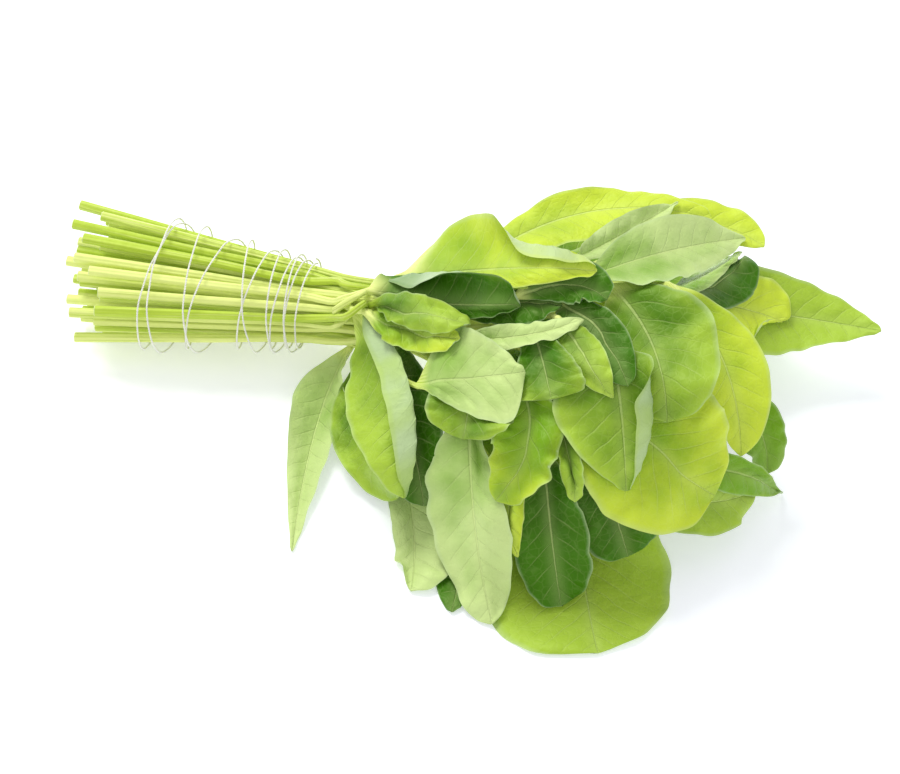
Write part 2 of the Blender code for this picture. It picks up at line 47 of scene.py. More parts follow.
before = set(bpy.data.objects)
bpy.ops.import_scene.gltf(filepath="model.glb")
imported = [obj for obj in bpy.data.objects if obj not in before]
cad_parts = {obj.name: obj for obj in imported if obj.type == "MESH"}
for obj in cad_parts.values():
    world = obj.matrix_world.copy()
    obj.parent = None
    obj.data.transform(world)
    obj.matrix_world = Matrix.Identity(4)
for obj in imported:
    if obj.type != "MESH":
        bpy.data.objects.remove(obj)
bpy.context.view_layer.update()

# The picture that the places are read from, and the sight line through it
PICTURE_CENTRE = (450.0, 387.0)
TIE_PIXEL = (325, 308)
MM_PER_PIXEL = 0.43
SIGHT_ELEVATION = math.radians(48)
SIGHT_DISTANCE = 1300.0
TARGET = np.array([0.0, 0.0, 30.0])
RIGHT = np.array([1.0, 0.0, 0.0])
TOWARDS_VIEWER = np.array([0.0, -math.cos(SIGHT_ELEVATION), math.sin(SIGHT_ELEVATION)])
PICTURE_UP = np.cross(TOWARDS_VIEWER, RIGHT)
EYE = TARGET + TOWARDS_VIEWER * SIGHT_DISTANCE

# The rounded head that the leaves make together
HEAD_CENTRE = np.array([58.0, 5.0, 0.0])
HEAD_RADII = np.array([100.0, 98.0, 80.0])
LOWEST_LIFT = -15.0
ON_TABLE = -75.0
TOPMOST_LIFT = 3.0

# Stems
CUT_CENTRE = np.array([-161.0, 76.6, 19.9])
TIE_CENTRE = np.array([-47.5, 47.5, 27.0])
STEM_SPACING = 4.2
STEM_RADIUS_CUT = 2.3
STEM_RADIUS_TIE = 1.75
STEM_RADIUS_BLADE = 1.25
SPREAD_ACROSS = 2.5
SPREAD_UP = 1.4
CUT_RAGGEDNESS = 10.0
CUT_ASTRAY = 0.5
STEM_RINGS_LEFT = (0.0, 0.5, 0.9, 1.0)
STEM_RINGS_RIGHT = (0.14, 0.36, 0.6, 0.82)
NEAREST_SAMPLE = 0.6

# Blades
BLADE_THICKNESS = 1.0
RIB_DEPTH_TIP = 0.55
BLADE_RINGS = (0.0, 0.09, 0.22, 0.36, 0.5, 0.64, 0.78, 0.9, 0.97, 1.0)
ACROSS = (-1.0, -0.5, 0.0, 0.5, 1.0)

# Laying a leaf on those before it
CLEARANCE = 1.4
STEM_CLEARANCE = 0.45
LOOK_FROM = 400.0
HIDDEN_BY = 0.4
STEEPEST = 0.5
SPREADING = 0.8
GIVING_WAY = 0.6
LEAST_SHARE = 0.05
CROSSING_STEP = 0.7
ROUNDS = 70
PATIENCE = 40
SAMPLES = (0.04, 0.34, 0.66, 0.96)

# Thread
THREAD_RADIUS = 0.45
THREAD_GAP = 0.8
THREAD_STEPS = 20
THREAD_TURNS = (0.0, 1.0, 2.2, 3.2, 4.2, 5.0, 5.5, 6.2, 7.4, 8.4, 9.8, 11.0)
THREAD_PLACES = (0.88, 0.84, 0.79, 0.68, 0.5, 0.31, 0.27, 0.31, 0.47, 0.7, 0.8, 0.87)
THREAD_BACK = 5.5
THREAD_LOOKS = (-0.17, 0.0, 0.17)
FLAT_BELOW = 0.6
LYING_BELOW = 10.0

SEED = 11

# The finer leaves
BLADE_ROWS = 54
STEM_ROWS = 34
COLUMNS = 25
FINE_THICKNESS = 0.34
EDGE_THICKNESS = 0.6
RIB_HALF_WIDTH = 1.1
RIB_TOP = 0.25
SPARE_GAP = 0.45
SHARE_OF_GAP = 0.7
VEIN_SPACING = 8.5
VEIN_SLANT = 0.85
QUILTING = 0.55
CUT_RIM = 0.4
STEM_RIBS = 7
STEM_RIB_HEIGHT = 0.07
EDGE_WANDER = 0.035
EDGE_WAVES = 4
ROUND_UP_TO = 0.05
TIP_FROM = 0.965
GROOVE_DEPTH = 0.16
SHARP_ABOVE = 70
FOLD_GAP = 2.6
THREAD_REFINED = 5
THREAD_STEP = 0.0004
FLOOR_HALF = 3.0
LAMPS_AIM = (0.0, 0.0, 0.03)
TINT_APART = 90.0
VEIN_STRAY = 5.0
FINE_SEED = 5

# How deep a green each leaf has within its own kind, from 0 to 1: partly the leaf's own green, partly painted
# shade on leaves that lie in shadow
DEPTHS_WITH_SHADE = {
    "far_upright": 0.0, "far_back": 0.1, "right_point": 0.0, "right_round": 0.0, "right_low": 0.95,
    "right_flat": 0.3, "right_small": 0.9, "right_long": 0.1, "low_broad": 0.35, "near_broad": 0.05,
    "near_inner": 0.5, "near_dark": 0.4, "near_left_pale": 0.0, "left_drooping": 0.0, "left_fill": 0.6,
    "near_oval": 0.15, "near_slip": 0.2, "near_long": 0.2, "near_edge": 0.4, "near_ruffled": 0.6,
    "under_fold": 0.5, "left_under": 0.35, "top_upper": 0.0, "mid_round": 0.4, "centre_folded": 0.35,
    "centre_dark": 0.3, "centre_green": 0.25, "top_broad": 0.25, "centre_square": 0.6,
    "pale_strip": 0.1, "centre_bright": 0.3, "left_folded": 0.15, "tie_lower": 0.4, "top_inner": 0.1,
    "upper_edge": 0.3, "upper_curled": 0.25, "upper_cupped": 1.2, "tie_small": 0.3,
}


class Leaf(NamedTuple):
    """One leaf: picture points where the blade begins, bends and ends, and its shape in mm and degrees.

    Pairs are for the left and the right half, as seen by someone who walks from the base to the tip on
    the side that faces the viewer. A bend lifts a half towards the viewer, and a curl turns its outer part
    further. A curl begins at the share curl_from of the blade's length, and fades towards the tip when that
    is below zero.
    """

    name: str
    base: tuple
    middle: tuple
    tip: tuple
    half_width: tuple
    widest: tuple = (0.5, 0.5)
    bend: tuple = (10.0, 10.0)
    curl: tuple = (0.0, 0.0)
    curl_from: float = 0.0
    roll: float = 0.0
    wave: float = 1.2
    point: float = 0.0
    lift: float = 0.0
    tone: str = "green"


LEAVES = (
    # Leaves that lie lowest and furthest from the viewer
    Leaf("under_far_1", (430, 320), (490, 290), (548, 262), (24, 24), lift=ON_TABLE),
    Leaf("under_far_2", (440, 315), (535, 275), (625, 245), (25, 25), lift=ON_TABLE),
    Leaf("under_far_3", (470, 320), (600, 285), (705, 264), (24, 24), lift=ON_TABLE),
    Leaf("under_mid_1", (470, 335), (560, 330), (650, 320), (25, 25), lift=-55),
    Leaf("under_mid_2", (480, 345), (600, 350), (715, 345), (25, 25), lift=-36),
    Leaf("under_near_1", (450, 370), (520, 430), (560, 500), (25, 25), lift=-38),
    Leaf("under_near_2", (470, 360), (570, 415), (650, 470), (27, 27), lift=-34),
    # Leaves whose ends show round the edge of the head
    Leaf(
        "far_back", (600, 262), (688, 224), (764, 247), (14, 13), (0.45, 0.6), lift=-4, point=0.2,
        tone="lime",
    ),
    Leaf("far_upright", (478, 262), (590, 212), (712, 219), (12, 18), (0.35, 0.5), wave=2.2, tone="lime"),
    Leaf("right_point", (668, 302), (775, 314), (881, 331), (20, 21), (0.4, 0.38), (16, 4), point=0.6),
    Leaf(
        "right_round", (690, 298), (742, 308), (782, 322), (16, 17), (0.65, 0.6), (18, 4), wave=2.0,
        tone="lime",
    ),
    Leaf("right_dark", (655, 300), (712, 287), (745, 256), (4, 14), (0.5, 0.65), tone="deep"),
    Leaf("right_strip", (655, 302), (702, 279), (742, 252), (5, 5), bend=(24, 10), point=0.7, tone="pale"),
    Leaf(
        "left_drooping", (352, 346), (317, 425), (292, 551), (15, 14), (0.42, 0.38), (32, 34),
        point=0.7, tone="pale",
    ),
    Leaf("right_low", (700, 395), (753, 420), (767, 474), (11, 12), (0.6, 0.6), (16, 16), tone="pale"),
    Leaf("right_flat", (600, 472), (690, 501), (756, 489), (13, 14), wave=2.0),
    Leaf("right_small", (655, 455), (725, 471), (782, 493), (9, 9), bend=(34, 8), point=0.6, tone="lime"),
    Leaf("near_broad", (572, 450), (580, 555), (598, 653), (37, 42), (0.6, 0.72), (0, 0), wave=2.0, lift=-12),
    Leaf("near_inner", (588, 440), (612, 505), (628, 556), (17, 17), (0.6, 0.6), tone="deep"),
    Leaf("near_dark", (500, 500), (468, 560), (452, 612), (12, 13), point=0.4, tone="deep"),
    Leaf(
        "near_left_pale", (395, 440), (413, 520), (411, 591), (18, 10), (0.66, 0.5), (4, 20), point=0.2,
        wave=2.4, tone="pale",
    ),
    Leaf("left_fill", (384, 332), (408, 420), (424, 506), (16, 16), tone="deep"),
    Leaf(
        "near_oval", (543, 440), (551, 530), (561, 606), (16, 16), (0.6, 0.62), (10, 7), wave=2.2,
        tone="deep",
    ),
    Leaf(
        "right_long", (668, 288), (722, 358), (741, 456), (17, 15), (0.55, 0.5), (14, 4), point=0.2,
        tone="lime",
    ),
    Leaf(
        "low_broad", (598, 386), (647, 442), (716, 494), (33, 34), (0.52, 0.55), (8, 6), (16, 0),
        wave=2.8, tone="lime",
    ),
    Leaf("near_slip", (514, 455), (509, 505), (518, 557), (7, 7), (0.4, 0.4), point=0.6, tone="lime"),
    Leaf(
        "near_long", (470, 405), (474, 515), (492, 624), (15, 24), (0.66, 0.34), (-34, -24), point=0.2,
        wave=2.4, tone="pale",
    ),
    Leaf("near_edge", (545, 395), (565, 442), (575, 502), (7, 7), bend=(34, 30), roll=10),
    Leaf("near_ruffled", (521, 388), (528, 440), (496, 501), (15, 15), (0.45, 0.4), wave=4.5, tone="lime"),
    Leaf("under_fold", (472, 350), (470, 395), (463, 439), (20, 18), (0.7, 0.66), (6, 6)),
    Leaf(
        "left_under", (372, 350), (360, 425), (400, 496), (12, 14), (0.6, 0.6), (20, 10), point=0.2,
        wave=2.0,
    ),
    Leaf("top_upper", (566, 264), (620, 236), (678, 202), (8, 9), bend=(32, 12), point=0.7, tone="pale"),
    Leaf("mid_round", (610, 286), (652, 344), (667, 422), (27, 25), (0.5, 0.6), (14, 6), wave=2.4),
    Leaf(
        "centre_folded", (610, 338), (621, 410), (626, 491), (26, 29), (0.5, 0.45), (12, 2), (115, 0), 0.2,
        point=0.6, wave=0.6,
    ),
    Leaf("centre_dark", (552, 300), (598, 332), (628, 386), (10, 14), bend=(26, 14), tone="deep"),
    Leaf("centre_green", (560, 318), (584, 355), (613, 398), (9, 9), bend=(26, 8), point=0.5),
    Leaf(
        "top_broad", (582, 280), (662, 253), (745, 238), (16, 16), (0.55, 0.42), (14, 8), point=0.5,
        tone="pale",
    ),
    Leaf("centre_square", (530, 322), (543, 362), (551, 400), (15, 14), (0.9, 0.9), (6, 6), wave=2.0),
    Leaf("centre_inner", (462, 316), (512, 305), (562, 306), (9, 10), bend=(24, 10), tone="deep"),
    Leaf(
        "pale_strip", (450, 338), (516, 337), (584, 320), (6, 7), bend=(28, 20), roll=10, point=0.5,
        tone="pale",
    ),
    Leaf(
        "centre_bright", (417, 386), (468, 379), (525, 372), (25, 20), (0.3, 0.85), (-8, -12),
        point=0.6, wave=1.8, tone="pale",
    ),
    Leaf(
        "left_folded", (356, 313), (393, 396), (403, 497), (24, 22), (0.42, 0.5), (26, 4), (140, 0),
        point=0.3, wave=1.8,
    ),
    Leaf(
        "tie_lower", (368, 316), (412, 333), (460, 338), (8, 8), (0.35, 0.45), bend=(30, 4), wave=2.2,
        tone="lime",
    ),
    Leaf("top_inner", (514, 298), (570, 285), (607, 300), (12, 9), bend=(24, 8), tone="deep"),
    Leaf("upper_edge", (398, 292), (448, 272), (528, 288), (8, 8), bend=(12, 10)),
    Leaf(
        "upper_curled", (406, 277), (500, 270), (597, 271), (25, 8), (0.28, 0.4), (8, 8), (145, 0),
        0.42, wave=2.0, tone="lime",
    ),
    Leaf(
        "upper_cupped", (368, 291), (444, 302), (520, 306), (25, 8), (0.45, 0.5), (14, 14), (140, 14),
        -0.3, wave=1.8,
    ),
    Leaf("tie_small", (372, 303), (418, 314), (470, 325), (9, 8), (0.4, 0.5), bend=(34, 16), wave=1.8),
)


def unit(vector):
    """The vector at length one."""
    return vector / np.linalg.norm(vector)


def seen_on_head(pixel, lift):
    """Where the sight line through a picture point meets the head, lifted off it, or else the table."""
    across = (pixel[0] - PICTURE_CENTRE[0]) * MM_PER_PIXEL
    up = (PICTURE_CENTRE[1] - pixel[1]) * MM_PER_PIXEL
    direction = unit(TARGET + across * RIGHT + up * PICTURE_UP - EYE)
    radii = HEAD_RADII + lift
    start = (EYE - HEAD_CENTRE) / radii
    step = direction / radii
    a, b, c = step @ step, start @ step, start @ start - 1.0
    reach = (-b - math.sqrt(max(b * b - a * c, 0.0))) / a
    place = EYE + direction * reach
    table = max(0.9, 0.15 * (lift - LOWEST_LIFT))
    if place[2] < table or lift <= ON_TABLE:
        place = EYE + direction * (table - EYE[2]) / direction[2]
    return place


def outline(share, widest, point):
    """Half width of a blade at a share of its length, as a share of the largest."""
    if share < widest:
        return math.sin(0.5 * math.pi * share / widest) ** (0.85 + 0.45 * point)
    beyond = (share - widest) / (1.0 - widest)
    return max(0.0, 1.0 - beyond ** (2.3 - 1.1 * point)) ** (0.5 + 0.5 * point)


def slots():
    """Places of the stems in the bundle, as (row, towards the picture's top, towards the viewer)."""
    found = []
    for row in range(-6, 7):
        for column in range(-6, 7):
            up = (column + 0.5 * (row % 2)) * STEM_SPACING
            found.append((row, up, row * STEM_SPACING * math.sqrt(0.75)))
    found.sort(key=lambda slot: math.hypot(slot[1] - 1.0, slot[2] - 0.7))
    return sorted(found[: len(LEAVES)])


def slots_by_leaf():
    """The slot of each leaf: rows fill from the far side, and in each row the stems fan out in order."""
    rows = {}
    for slot in slots():
        rows.setdefault(slot[0], []).append(slot)
    taken = {}
    first = 0
    for row in sorted(rows):
        group = LEAVES[first : first + len(rows[row])]
        first += len(group)
        fan = sorted(
            group,
            key=lambda leaf: math.atan2(leaf.middle[1] - TIE_PIXEL[1], leaf.middle[0] - TIE_PIXEL[0]),
            reverse=True,
        )
        for leaf, slot in zip(fan, sorted(rows[row], key=lambda s: s[1])):
            taken[leaf.name] = slot[1:]
    return taken


def stem_ends(slot, draw):
    """Centre of a stem at its cut end and at the tie."""
    axis = unit(TIE_CENTRE - CUT_CENTRE)
    up = unit(PICTURE_UP - (PICTURE_UP @ axis) * axis)
    out = unit(TOWARDS_VIEWER - (TOWARDS_VIEWER @ axis) * axis)
    offset = slot[0] * up + slot[1] * out
    spread = offset * np.array([1.0, SPREAD_ACROSS, SPREAD_UP])
    ragged = draw.uniform(-CUT_RAGGEDNESS, CUT_RAGGEDNESS)
    astray = draw.uniform(-CUT_ASTRAY, CUT_ASTRAY) * up + draw.uniform(-CUT_ASTRAY, CUT_ASTRAY) * 0.6 * out
    return CUT_CENTRE + spread + astray - axis * ragged, TIE_CENTRE + offset


def patch_weights(s, t, left):
    """Shares of a patch's four corners at a point inside it, on the triangles that split the patch."""
    if left:
        return (1 - t, t - s, 0.0, s) if t >= s else (1 - s, 0.0, s - t, t)
    return (1 - s - t, t, s, 0.0) if s + t <= 1 else (0.0, 1 - s, 1 - t, s + t - 1)


def bent(start, middle, end, share):
    """A point on the curve through three points."""
    far = 2.0 * middle - 0.5 * (start + end)
    return (1 - share) ** 2 * start + 2 * share * (1 - share) * far + share**2 * end


def cubic(start, end, leaving, arriving, t):
    """A point on the smooth curve with the given ends and end slopes."""
    t2, t3 = t**2, t**3
    return (
        (2 * t3 - 3 * t2 + 1) * start
        + (t3 - 2 * t2 + t) * leaving
        + (3 * t2 - 2 * t3) * end
        + (t3 - t2) * arriving
    )


class LeafyStem:
    """The centre line, the frames and the mid surface of one leafy stem, while it is being laid."""

    def __init__(self, leaf, lift, slot, draw):
        self.leaf = leaf
        self.cut, self.tie = stem_ends(slot, draw)
        lift = lift + leaf.lift if leaf.lift > LOWEST_LIFT else leaf.lift
        places = [seen_on_head(pixel, lift) for pixel in (leaf.base, leaf.middle, leaf.tip)]
        spine = [bent(*places, share) for share in BLADE_RINGS]
        left = [self.cut + (self.tie - self.cut) * share for share in STEM_RINGS_LEFT]
        reach = np.linalg.norm(places[0] - self.tie)
        leaving = unit(self.tie - self.cut) * reach * 0.9
        arriving = unit(spine[1] - spine[0]) * min(reach, 40.0) * 0.9
        right = [cubic(self.tie, places[0], leaving, arriving, share) for share in STEM_RINGS_RIGHT]
        self.centres = np.array(left + right + spine)
        self.first_free = len(left) - 1
        self.first_blade = len(left) + len(right)
        self.frames()
        self.surface = self.lay_out()

    def frames(self):
        """Side vectors: across the blade from its roll, then carried back along the stem untwisted."""
        count = len(self.centres)
        tangents = np.array([
            unit(self.centres[min(i + 1, count - 1)] - self.centres[max(i - 1, 0)]) for i in range(count)
        ])
        self.sides = np.zeros((count, 3))
        roll = math.radians(self.leaf.roll)
        for i in range(self.first_blade, count):
            out = unit((self.centres[i] - HEAD_CENTRE) / HEAD_RADII**2)
            lying = max(0.0, 1.0 - self.centres[i][2] / LYING_BELOW)
            facing = unit((1.0 - lying) * (out + 1.2 * TOWARDS_VIEWER) + np.array([0.0, 0.0, 3.0 * lying]))
            side = unit(np.cross(tangents[i], facing))
            normal = np.cross(side, tangents[i])
            self.sides[i] = math.cos(roll) * side + math.sin(roll) * normal
        for i in range(self.first_blade - 1, -1, -1):
            side = self.sides[i + 1] - (self.sides[i + 1] @ tangents[i]) * tangents[i]
            self.sides[i] = unit(side)
        self.normals = np.cross(self.sides, tangents)

    def stem_radius(self, ring):
        """Radius of the stem at a ring left of the blade."""
        if ring < len(STEM_RINGS_LEFT):
            share = STEM_RINGS_LEFT[ring]
            return STEM_RADIUS_CUT + (STEM_RADIUS_TIE - STEM_RADIUS_CUT) * share
        share = STEM_RINGS_RIGHT[ring - len(STEM_RINGS_LEFT)]
        return STEM_RADIUS_TIE + (STEM_RADIUS_BLADE - STEM_RADIUS_TIE) * share

    def lay_out(self):
        """The mid surface, ring by ring, five points across, left edge first."""
        leaf = self.leaf
        surface = np.zeros((len(self.centres), len(ACROSS), 3))
        self.half_thickness = np.full((len(self.centres), len(ACROSS)), BLADE_THICKNESS / 2)
        self.radii = np.zeros(len(self.centres))
        for i, centre in enumerate(self.centres):
            if i < self.first_blade:
                radius = self.stem_radius(i)
                self.radii[i] = radius
                self.half_thickness[i] = radius
                surface[i] = centre
                continue
            share = BLADE_RINGS[i - self.first_blade]
            self.radii[i] = STEM_RADIUS_BLADE + (RIB_DEPTH_TIP - STEM_RADIUS_BLADE) * share
            self.half_thickness[i, 2] = self.radii[i]
            phase = 1.6 * share + 0.13 * leaf.half_width[0]
            ripple = leaf.wave * math.sin(2 * math.pi * phase) * min(1.0, 4 * share)
            swell = min(1.0, 4.0 * max(0.0, share - max(0.0, leaf.curl_from)), 6.0 * (1.0 - share) + 0.3)
            swell *= min(1.0, max(0.0, 1.0 + 3.0 * min(0.0, leaf.curl_from) * (share - 0.3)))
            surface[i, 2] = centre
            for hand, sign in ((0, -1), (1, 1)):
                width = leaf.half_width[hand] * outline(share, leaf.widest[hand], leaf.point)
                width = max(STEM_RADIUS_BLADE if share < 0.5 else 0.12 * leaf.half_width[hand], width)
                inner = math.radians(leaf.bend[hand])
                outer = inner + math.radians(leaf.curl[hand]) * swell
                side, normal = sign * self.sides[i], self.normals[i]
                half = 0.5 * width * (math.cos(inner) * side + math.sin(inner) * normal)
                edge = 0.5 * width * (math.cos(outer) * side + math.sin(outer) * normal)
                edge = edge - sign * ripple * normal
                surface[i, 2 + sign] = centre + half
                surface[i, 2 + 2 * sign] = centre + half + edge
        return surface

    def needed(self, tree):
        """How far each point has to rise towards the viewer, and to give way sideways, to be clear."""
        rise = np.zeros(self.surface.shape[:2])
        push = np.zeros(self.surface.shape)
        for i in range(self.first_free, len(self.surface)):
            columns = range(len(ACROSS) - 1) if i >= self.first_blade else (1,)
            for j in columns:
                for s in SAMPLES:
                    if i == self.first_free and s < NEAREST_SAMPLE:
                        continue
                    for t in SAMPLES:
                        self.sample(tree, rise, push, (i - 1, j, s, t))
        rise[: self.first_free] = 0.0
        push[: self.first_free] = 0.0
        return rise, push

    def sample(self, tree, rise, push, place):
        """Raises the rise and the push of a patch's four corners for one point inside the patch."""
        i, j, s, t = place
        corners = ((i, j), (i, j + 1), (i + 1, j), (i + 1, j + 1))
        weights = patch_weights(s, t, j < 2)
        point = sum(w * self.surface[c] for w, c in zip(weights, corners))
        thick = sum(w * self.half_thickness[c] for w, c in zip(weights, corners))
        stem = self.first_blade > i + 1
        clear = thick + (STEM_CLEARANCE if stem else CLEARANCE - BLADE_THICKNESS / 2)
        towards = unit(EYE - point)
        short = max(0.0, (thick + 0.02 - point[2]) / towards[2])
        aside = np.zeros(3)
        if tree:
            start = Vector(point + towards * LOOK_FROM)
            hit, _, _, far = tree.ray_cast(start, Vector(-towards), 2 * LOOK_FROM)
            if hit is not None:
                short = max(short, LOOK_FROM - far + HIDDEN_BY * clear)
            near, _, _, gap = tree.find_nearest(Vector(point), clear)
            if near is not None and gap < clear:
                away = (point - np.array(near)) / max(gap, 1e-6)
                facing = float(away @ towards)
                if facing > STEEPEST or gap < LEAST_SHARE:
                    short = max(short, (clear - gap) / max(STEEPEST, facing))
                elif short <= 0.0:
                    aside = (clear - gap) * unit(away - facing * towards)
        for weight, corner in zip(weights, corners):
            if weight > LEAST_SHARE:
                rise[corner] = max(rise[corner], short * min(1.0, 0.6 + weight))
                if aside @ aside > push[corner] @ push[corner]:
                    push[corner] = aside

    def crossed(self, tree):
        """A small rise at every point of the patches that still touch what lies below."""
        rise = np.zeros(self.surface.shape[:2])
        if tree:
            shell = [Vector(rested(p)) for ring in self.rings() for p in ring]
            mine = BVHTree.FromPolygons(shell, self.triangles())
            for face, _ in mine.overlap(tree):
                ring, around = face // 16, face % 16 // 2
                if ring < self.first_free - 1:
                    continue
                column = around if around < 4 else 7 - around
                rise[ring : ring + 2, column : column + 2] = CROSSING_STEP
        return rise

    def settle(self, tree):
        """Lifts the leaf towards the viewer, smoothly over its surface, until it is clear everywhere."""
        for number in range(ROUNDS):
            rise, push = self.needed(tree)
            if max(rise.max(), np.abs(push).max()) < 0.01 or number > PATIENCE:
                touching = self.crossed(tree)
                if not touching.any():
                    return True
                rise = np.maximum(rise, touching)
            for _ in range(3):
                padded = np.pad(rise, 1, mode="edge")
                around = (padded[:-2, 1:-1] + padded[2:, 1:-1] + padded[1:-1, :-2] + padded[1:-1, 2:]) / 4
                rise = np.maximum(rise, SPREADING * around)
            for ring in range(self.first_free, self.first_blade):
                rise[ring] = rise[ring].max()
                push[ring] = max(push[ring], key=lambda step: step @ step)
            rise[: self.first_free] = 0.0
            towards = EYE - self.surface
            towards /= np.linalg.norm(towards, axis=2, keepdims=True)
            self.surface += towards * rise[:, :, None] + GIVING_WAY * push
        return False

    def rings(self):
        """The outer points: eight to a ring, round on the stem, thin with a rib on the blade."""
        surface = self.surface
        count = len(surface)
        made = []
        for i in range(count):
            along = surface[min(i + 1, count - 1), 2] - surface[max(i - 1, 0), 2]
            along = unit(along)
            if i < self.first_blade:
                side = unit(self.sides[i] - (self.sides[i] @ along) * along)
                normal = np.cross(side, along)
                made.append([
                    surface[i, 2] + self.radii[i] * (math.cos(turn) * side + math.sin(turn) * normal)
                    for turn in [math.pi * (1 - k / 4) for k in range(8)]
                ])
                continue
            above = self.blade_normals(i)
            share = BLADE_RINGS[i - self.first_blade]
            plump = self.radii[i] * max(0.0, 1 - 4 * share)
            thick = max(BLADE_THICKNESS / 2, plump)
            rib = max(BLADE_THICKNESS / 2, self.radii[i])
            top = [surface[i, j] + above[j] * thick for j in (1, 2, 3)]
            under = [surface[i, j] - above[j] * (rib if j == 2 else thick) for j in (3, 2, 1)]
            made.append([surface[i, 0], *top, surface[i, 4], *under])
        return made

    def blade_normals(self, i):
        """Directions square to the blade at the five points of a ring."""
        surface = self.surface
        low, high = max(i - 1, self.first_blade), min(i + 1, len(surface) - 1)
        found = []
        for j in range(len(ACROSS)):
            across = surface[i, min(j + 1, 4)] - surface[i, max(j - 1, 0)]
            along = surface[high, j] - surface[low, j]
            found.append(unit(np.cross(across, along)))
        return found

    def triangles(self):
        """Faces of the closed solid, split alike above and below."""
        count = len(self.surface)
        faces = []
        for i in range(count - 1):
            for k in range(8):
                a, b = 8 * i + k, 8 * i + (k + 1) % 8
                c, d = a + 8, b + 8
                above_left = k in (0, 1, 6, 7)
                faces += [(a, b, d), (a, d, c)] if above_left == (k < 4) else [(a, b, c), (b, d, c)]
        faces += [(0, k + 1, k) for k in range(1, 7)]
        last = 8 * (count - 1)
        faces += [(last, last + k, last + k + 1) for k in range(1, 7)]
        return faces


def lay_leaves():
    """Lays every leafy stem on those before it. Returns them in order."""
    draw = random.Random(SEED)
    taken = slots_by_leaf()
    laid = []
    points, faces = [], []
    for number, leaf in enumerate(LEAVES):
        lift = LOWEST_LIFT + (TOPMOST_LIFT - LOWEST_LIFT) * number / len(LEAVES)
        stem = LeafyStem(leaf, lift, taken[leaf.name], draw)
        tree = BVHTree.FromPolygons([Vector(p) for p in points], faces) if faces else None
        if not stem.settle(tree):
            print("not clear:", leaf.name)
        shell = [rested(p) for ring in stem.rings() for p in ring]
        shift = len(points)
        points += shell
        faces += [tuple(shift + k for k in face) for face in stem.triangles()]
        laid.append((stem, shell))
    return laid


def rested(point):
    """A point of a leaf, pressed flat on the table if it is almost there."""
    return np.array([point[0], point[1], 0.0 if point[2] < FLAT_BELOW else point[2]])


def bundle_reach(laid, share, turn):
    """How far the bundle reaches from its centre line in one direction, at a share of its length."""
    axis = unit(TIE_CENTRE - CUT_CENTRE)
    up = unit(PICTURE_UP - (PICTURE_UP @ axis) * axis)
    out = np.cross(axis, up)
    centre = CUT_CENTRE + (TIE_CENTRE - CUT_CENTRE) * share
    radius = STEM_RADIUS_CUT + (STEM_RADIUS_TIE - STEM_RADIUS_CUT) * share
    flat = []
    for stem, _ in laid:
        line = stem.tie - stem.cut
        crossing = stem.cut + line * ((centre - stem.cut) @ axis) / (line @ axis)
        flat.append(((crossing - centre) @ up, (crossing - centre) @ out))
    flat = np.array(flat)
    turns = np.radians(np.arange(0, 360, 5))
    support = (flat @ np.array([np.cos(turns), np.sin(turns)])).max(axis=0) + radius
    facing = np.cos(turns - turn)
    reach = np.where(facing > 0.2, support / np.maximum(facing, 0.2), 1e9).min()
    return reach, centre, up, out


def thread_route(laid):
    """The thread's centre line: wound from near the leaves to the cut end, and back over itself."""
    route = []
    for step in range(int(THREAD_TURNS[-1] * THREAD_STEPS) + 1):
        turn = step / THREAD_STEPS
        share = float(np.interp(turn, THREAD_TURNS, THREAD_PLACES))
        angle = 2 * math.pi * turn
        around = [bundle_reach(laid, share, (angle + side) % (2 * math.pi)) for side in THREAD_LOOKS]
        reach = max(found[0] for found in around)
        _, centre, up, out = around[1]
        layer = THREAD_RADIUS + THREAD_GAP
        layer += min(1.0, max(0.0, 2.0 * (turn - THREAD_BACK))) * (2 * THREAD_RADIUS + THREAD_GAP)
        route.append(centre + (reach + layer) * (math.cos(angle) * up + math.sin(angle) * out))
    return np.array(route)


def smooth_rows(values, places, fine):
    """Values given row by row at some places, read at finer places along a smooth curve."""
    slopes = np.gradient(values, places, axis=0)
    row = np.clip(np.searchsorted(places, fine, side="right") - 1, 0, len(places) - 2)
    step = (places[row + 1] - places[row]).reshape(-1, *[1] * (values.ndim - 1))
    t = (fine.reshape(step.shape) - places[row].reshape(step.shape)) / step
    return cubic(values[row], values[row + 1], slopes[row] * step, slopes[row + 1] * step, t)


def smooth_across(grid, places, fine):
    """A grid of points, row by row, read at finer places across each row."""
    slopes = np.gradient(grid, places, axis=1)
    column = np.clip(np.searchsorted(places, fine, side="right") - 1, 0, len(places) - 2)
    rows = np.arange(len(grid))[:, None]
    step = (places[column + 1] - places[column])[:, :, None]
    t = (fine - places[column])[:, :, None] / step
    leaving, arriving = slopes[rows, column] * step, slopes[rows, column + 1] * step
    return cubic(grid[rows, column], grid[rows, column + 1], leaving, arriving, t)


def ease(value):
    """A smooth step from 0 to 1."""
    value = np.clip(value, 0.0, 1.0)
    return value * value * (3 - 2 * value)


def units(vectors):
    """Each vector at length one."""
    return vectors / np.maximum(np.linalg.norm(vectors, axis=-1, keepdims=True), 1e-9)


def free_space(stem, others):
    """How far each coarse point of a blade may move before it meets another leaf or the table."""
    blade = stem.surface[stem.first_blade :]
    space = np.zeros(blade.shape[:2])
    for i, row in enumerate(blade):
        for j, point in enumerate(row):
            _, _, _, gap = others.find_nearest(Vector(point))
            space[i, j] = min(gap, point[2])
    return np.maximum(0.0, space - SPARE_GAP) * SHARE_OF_GAP


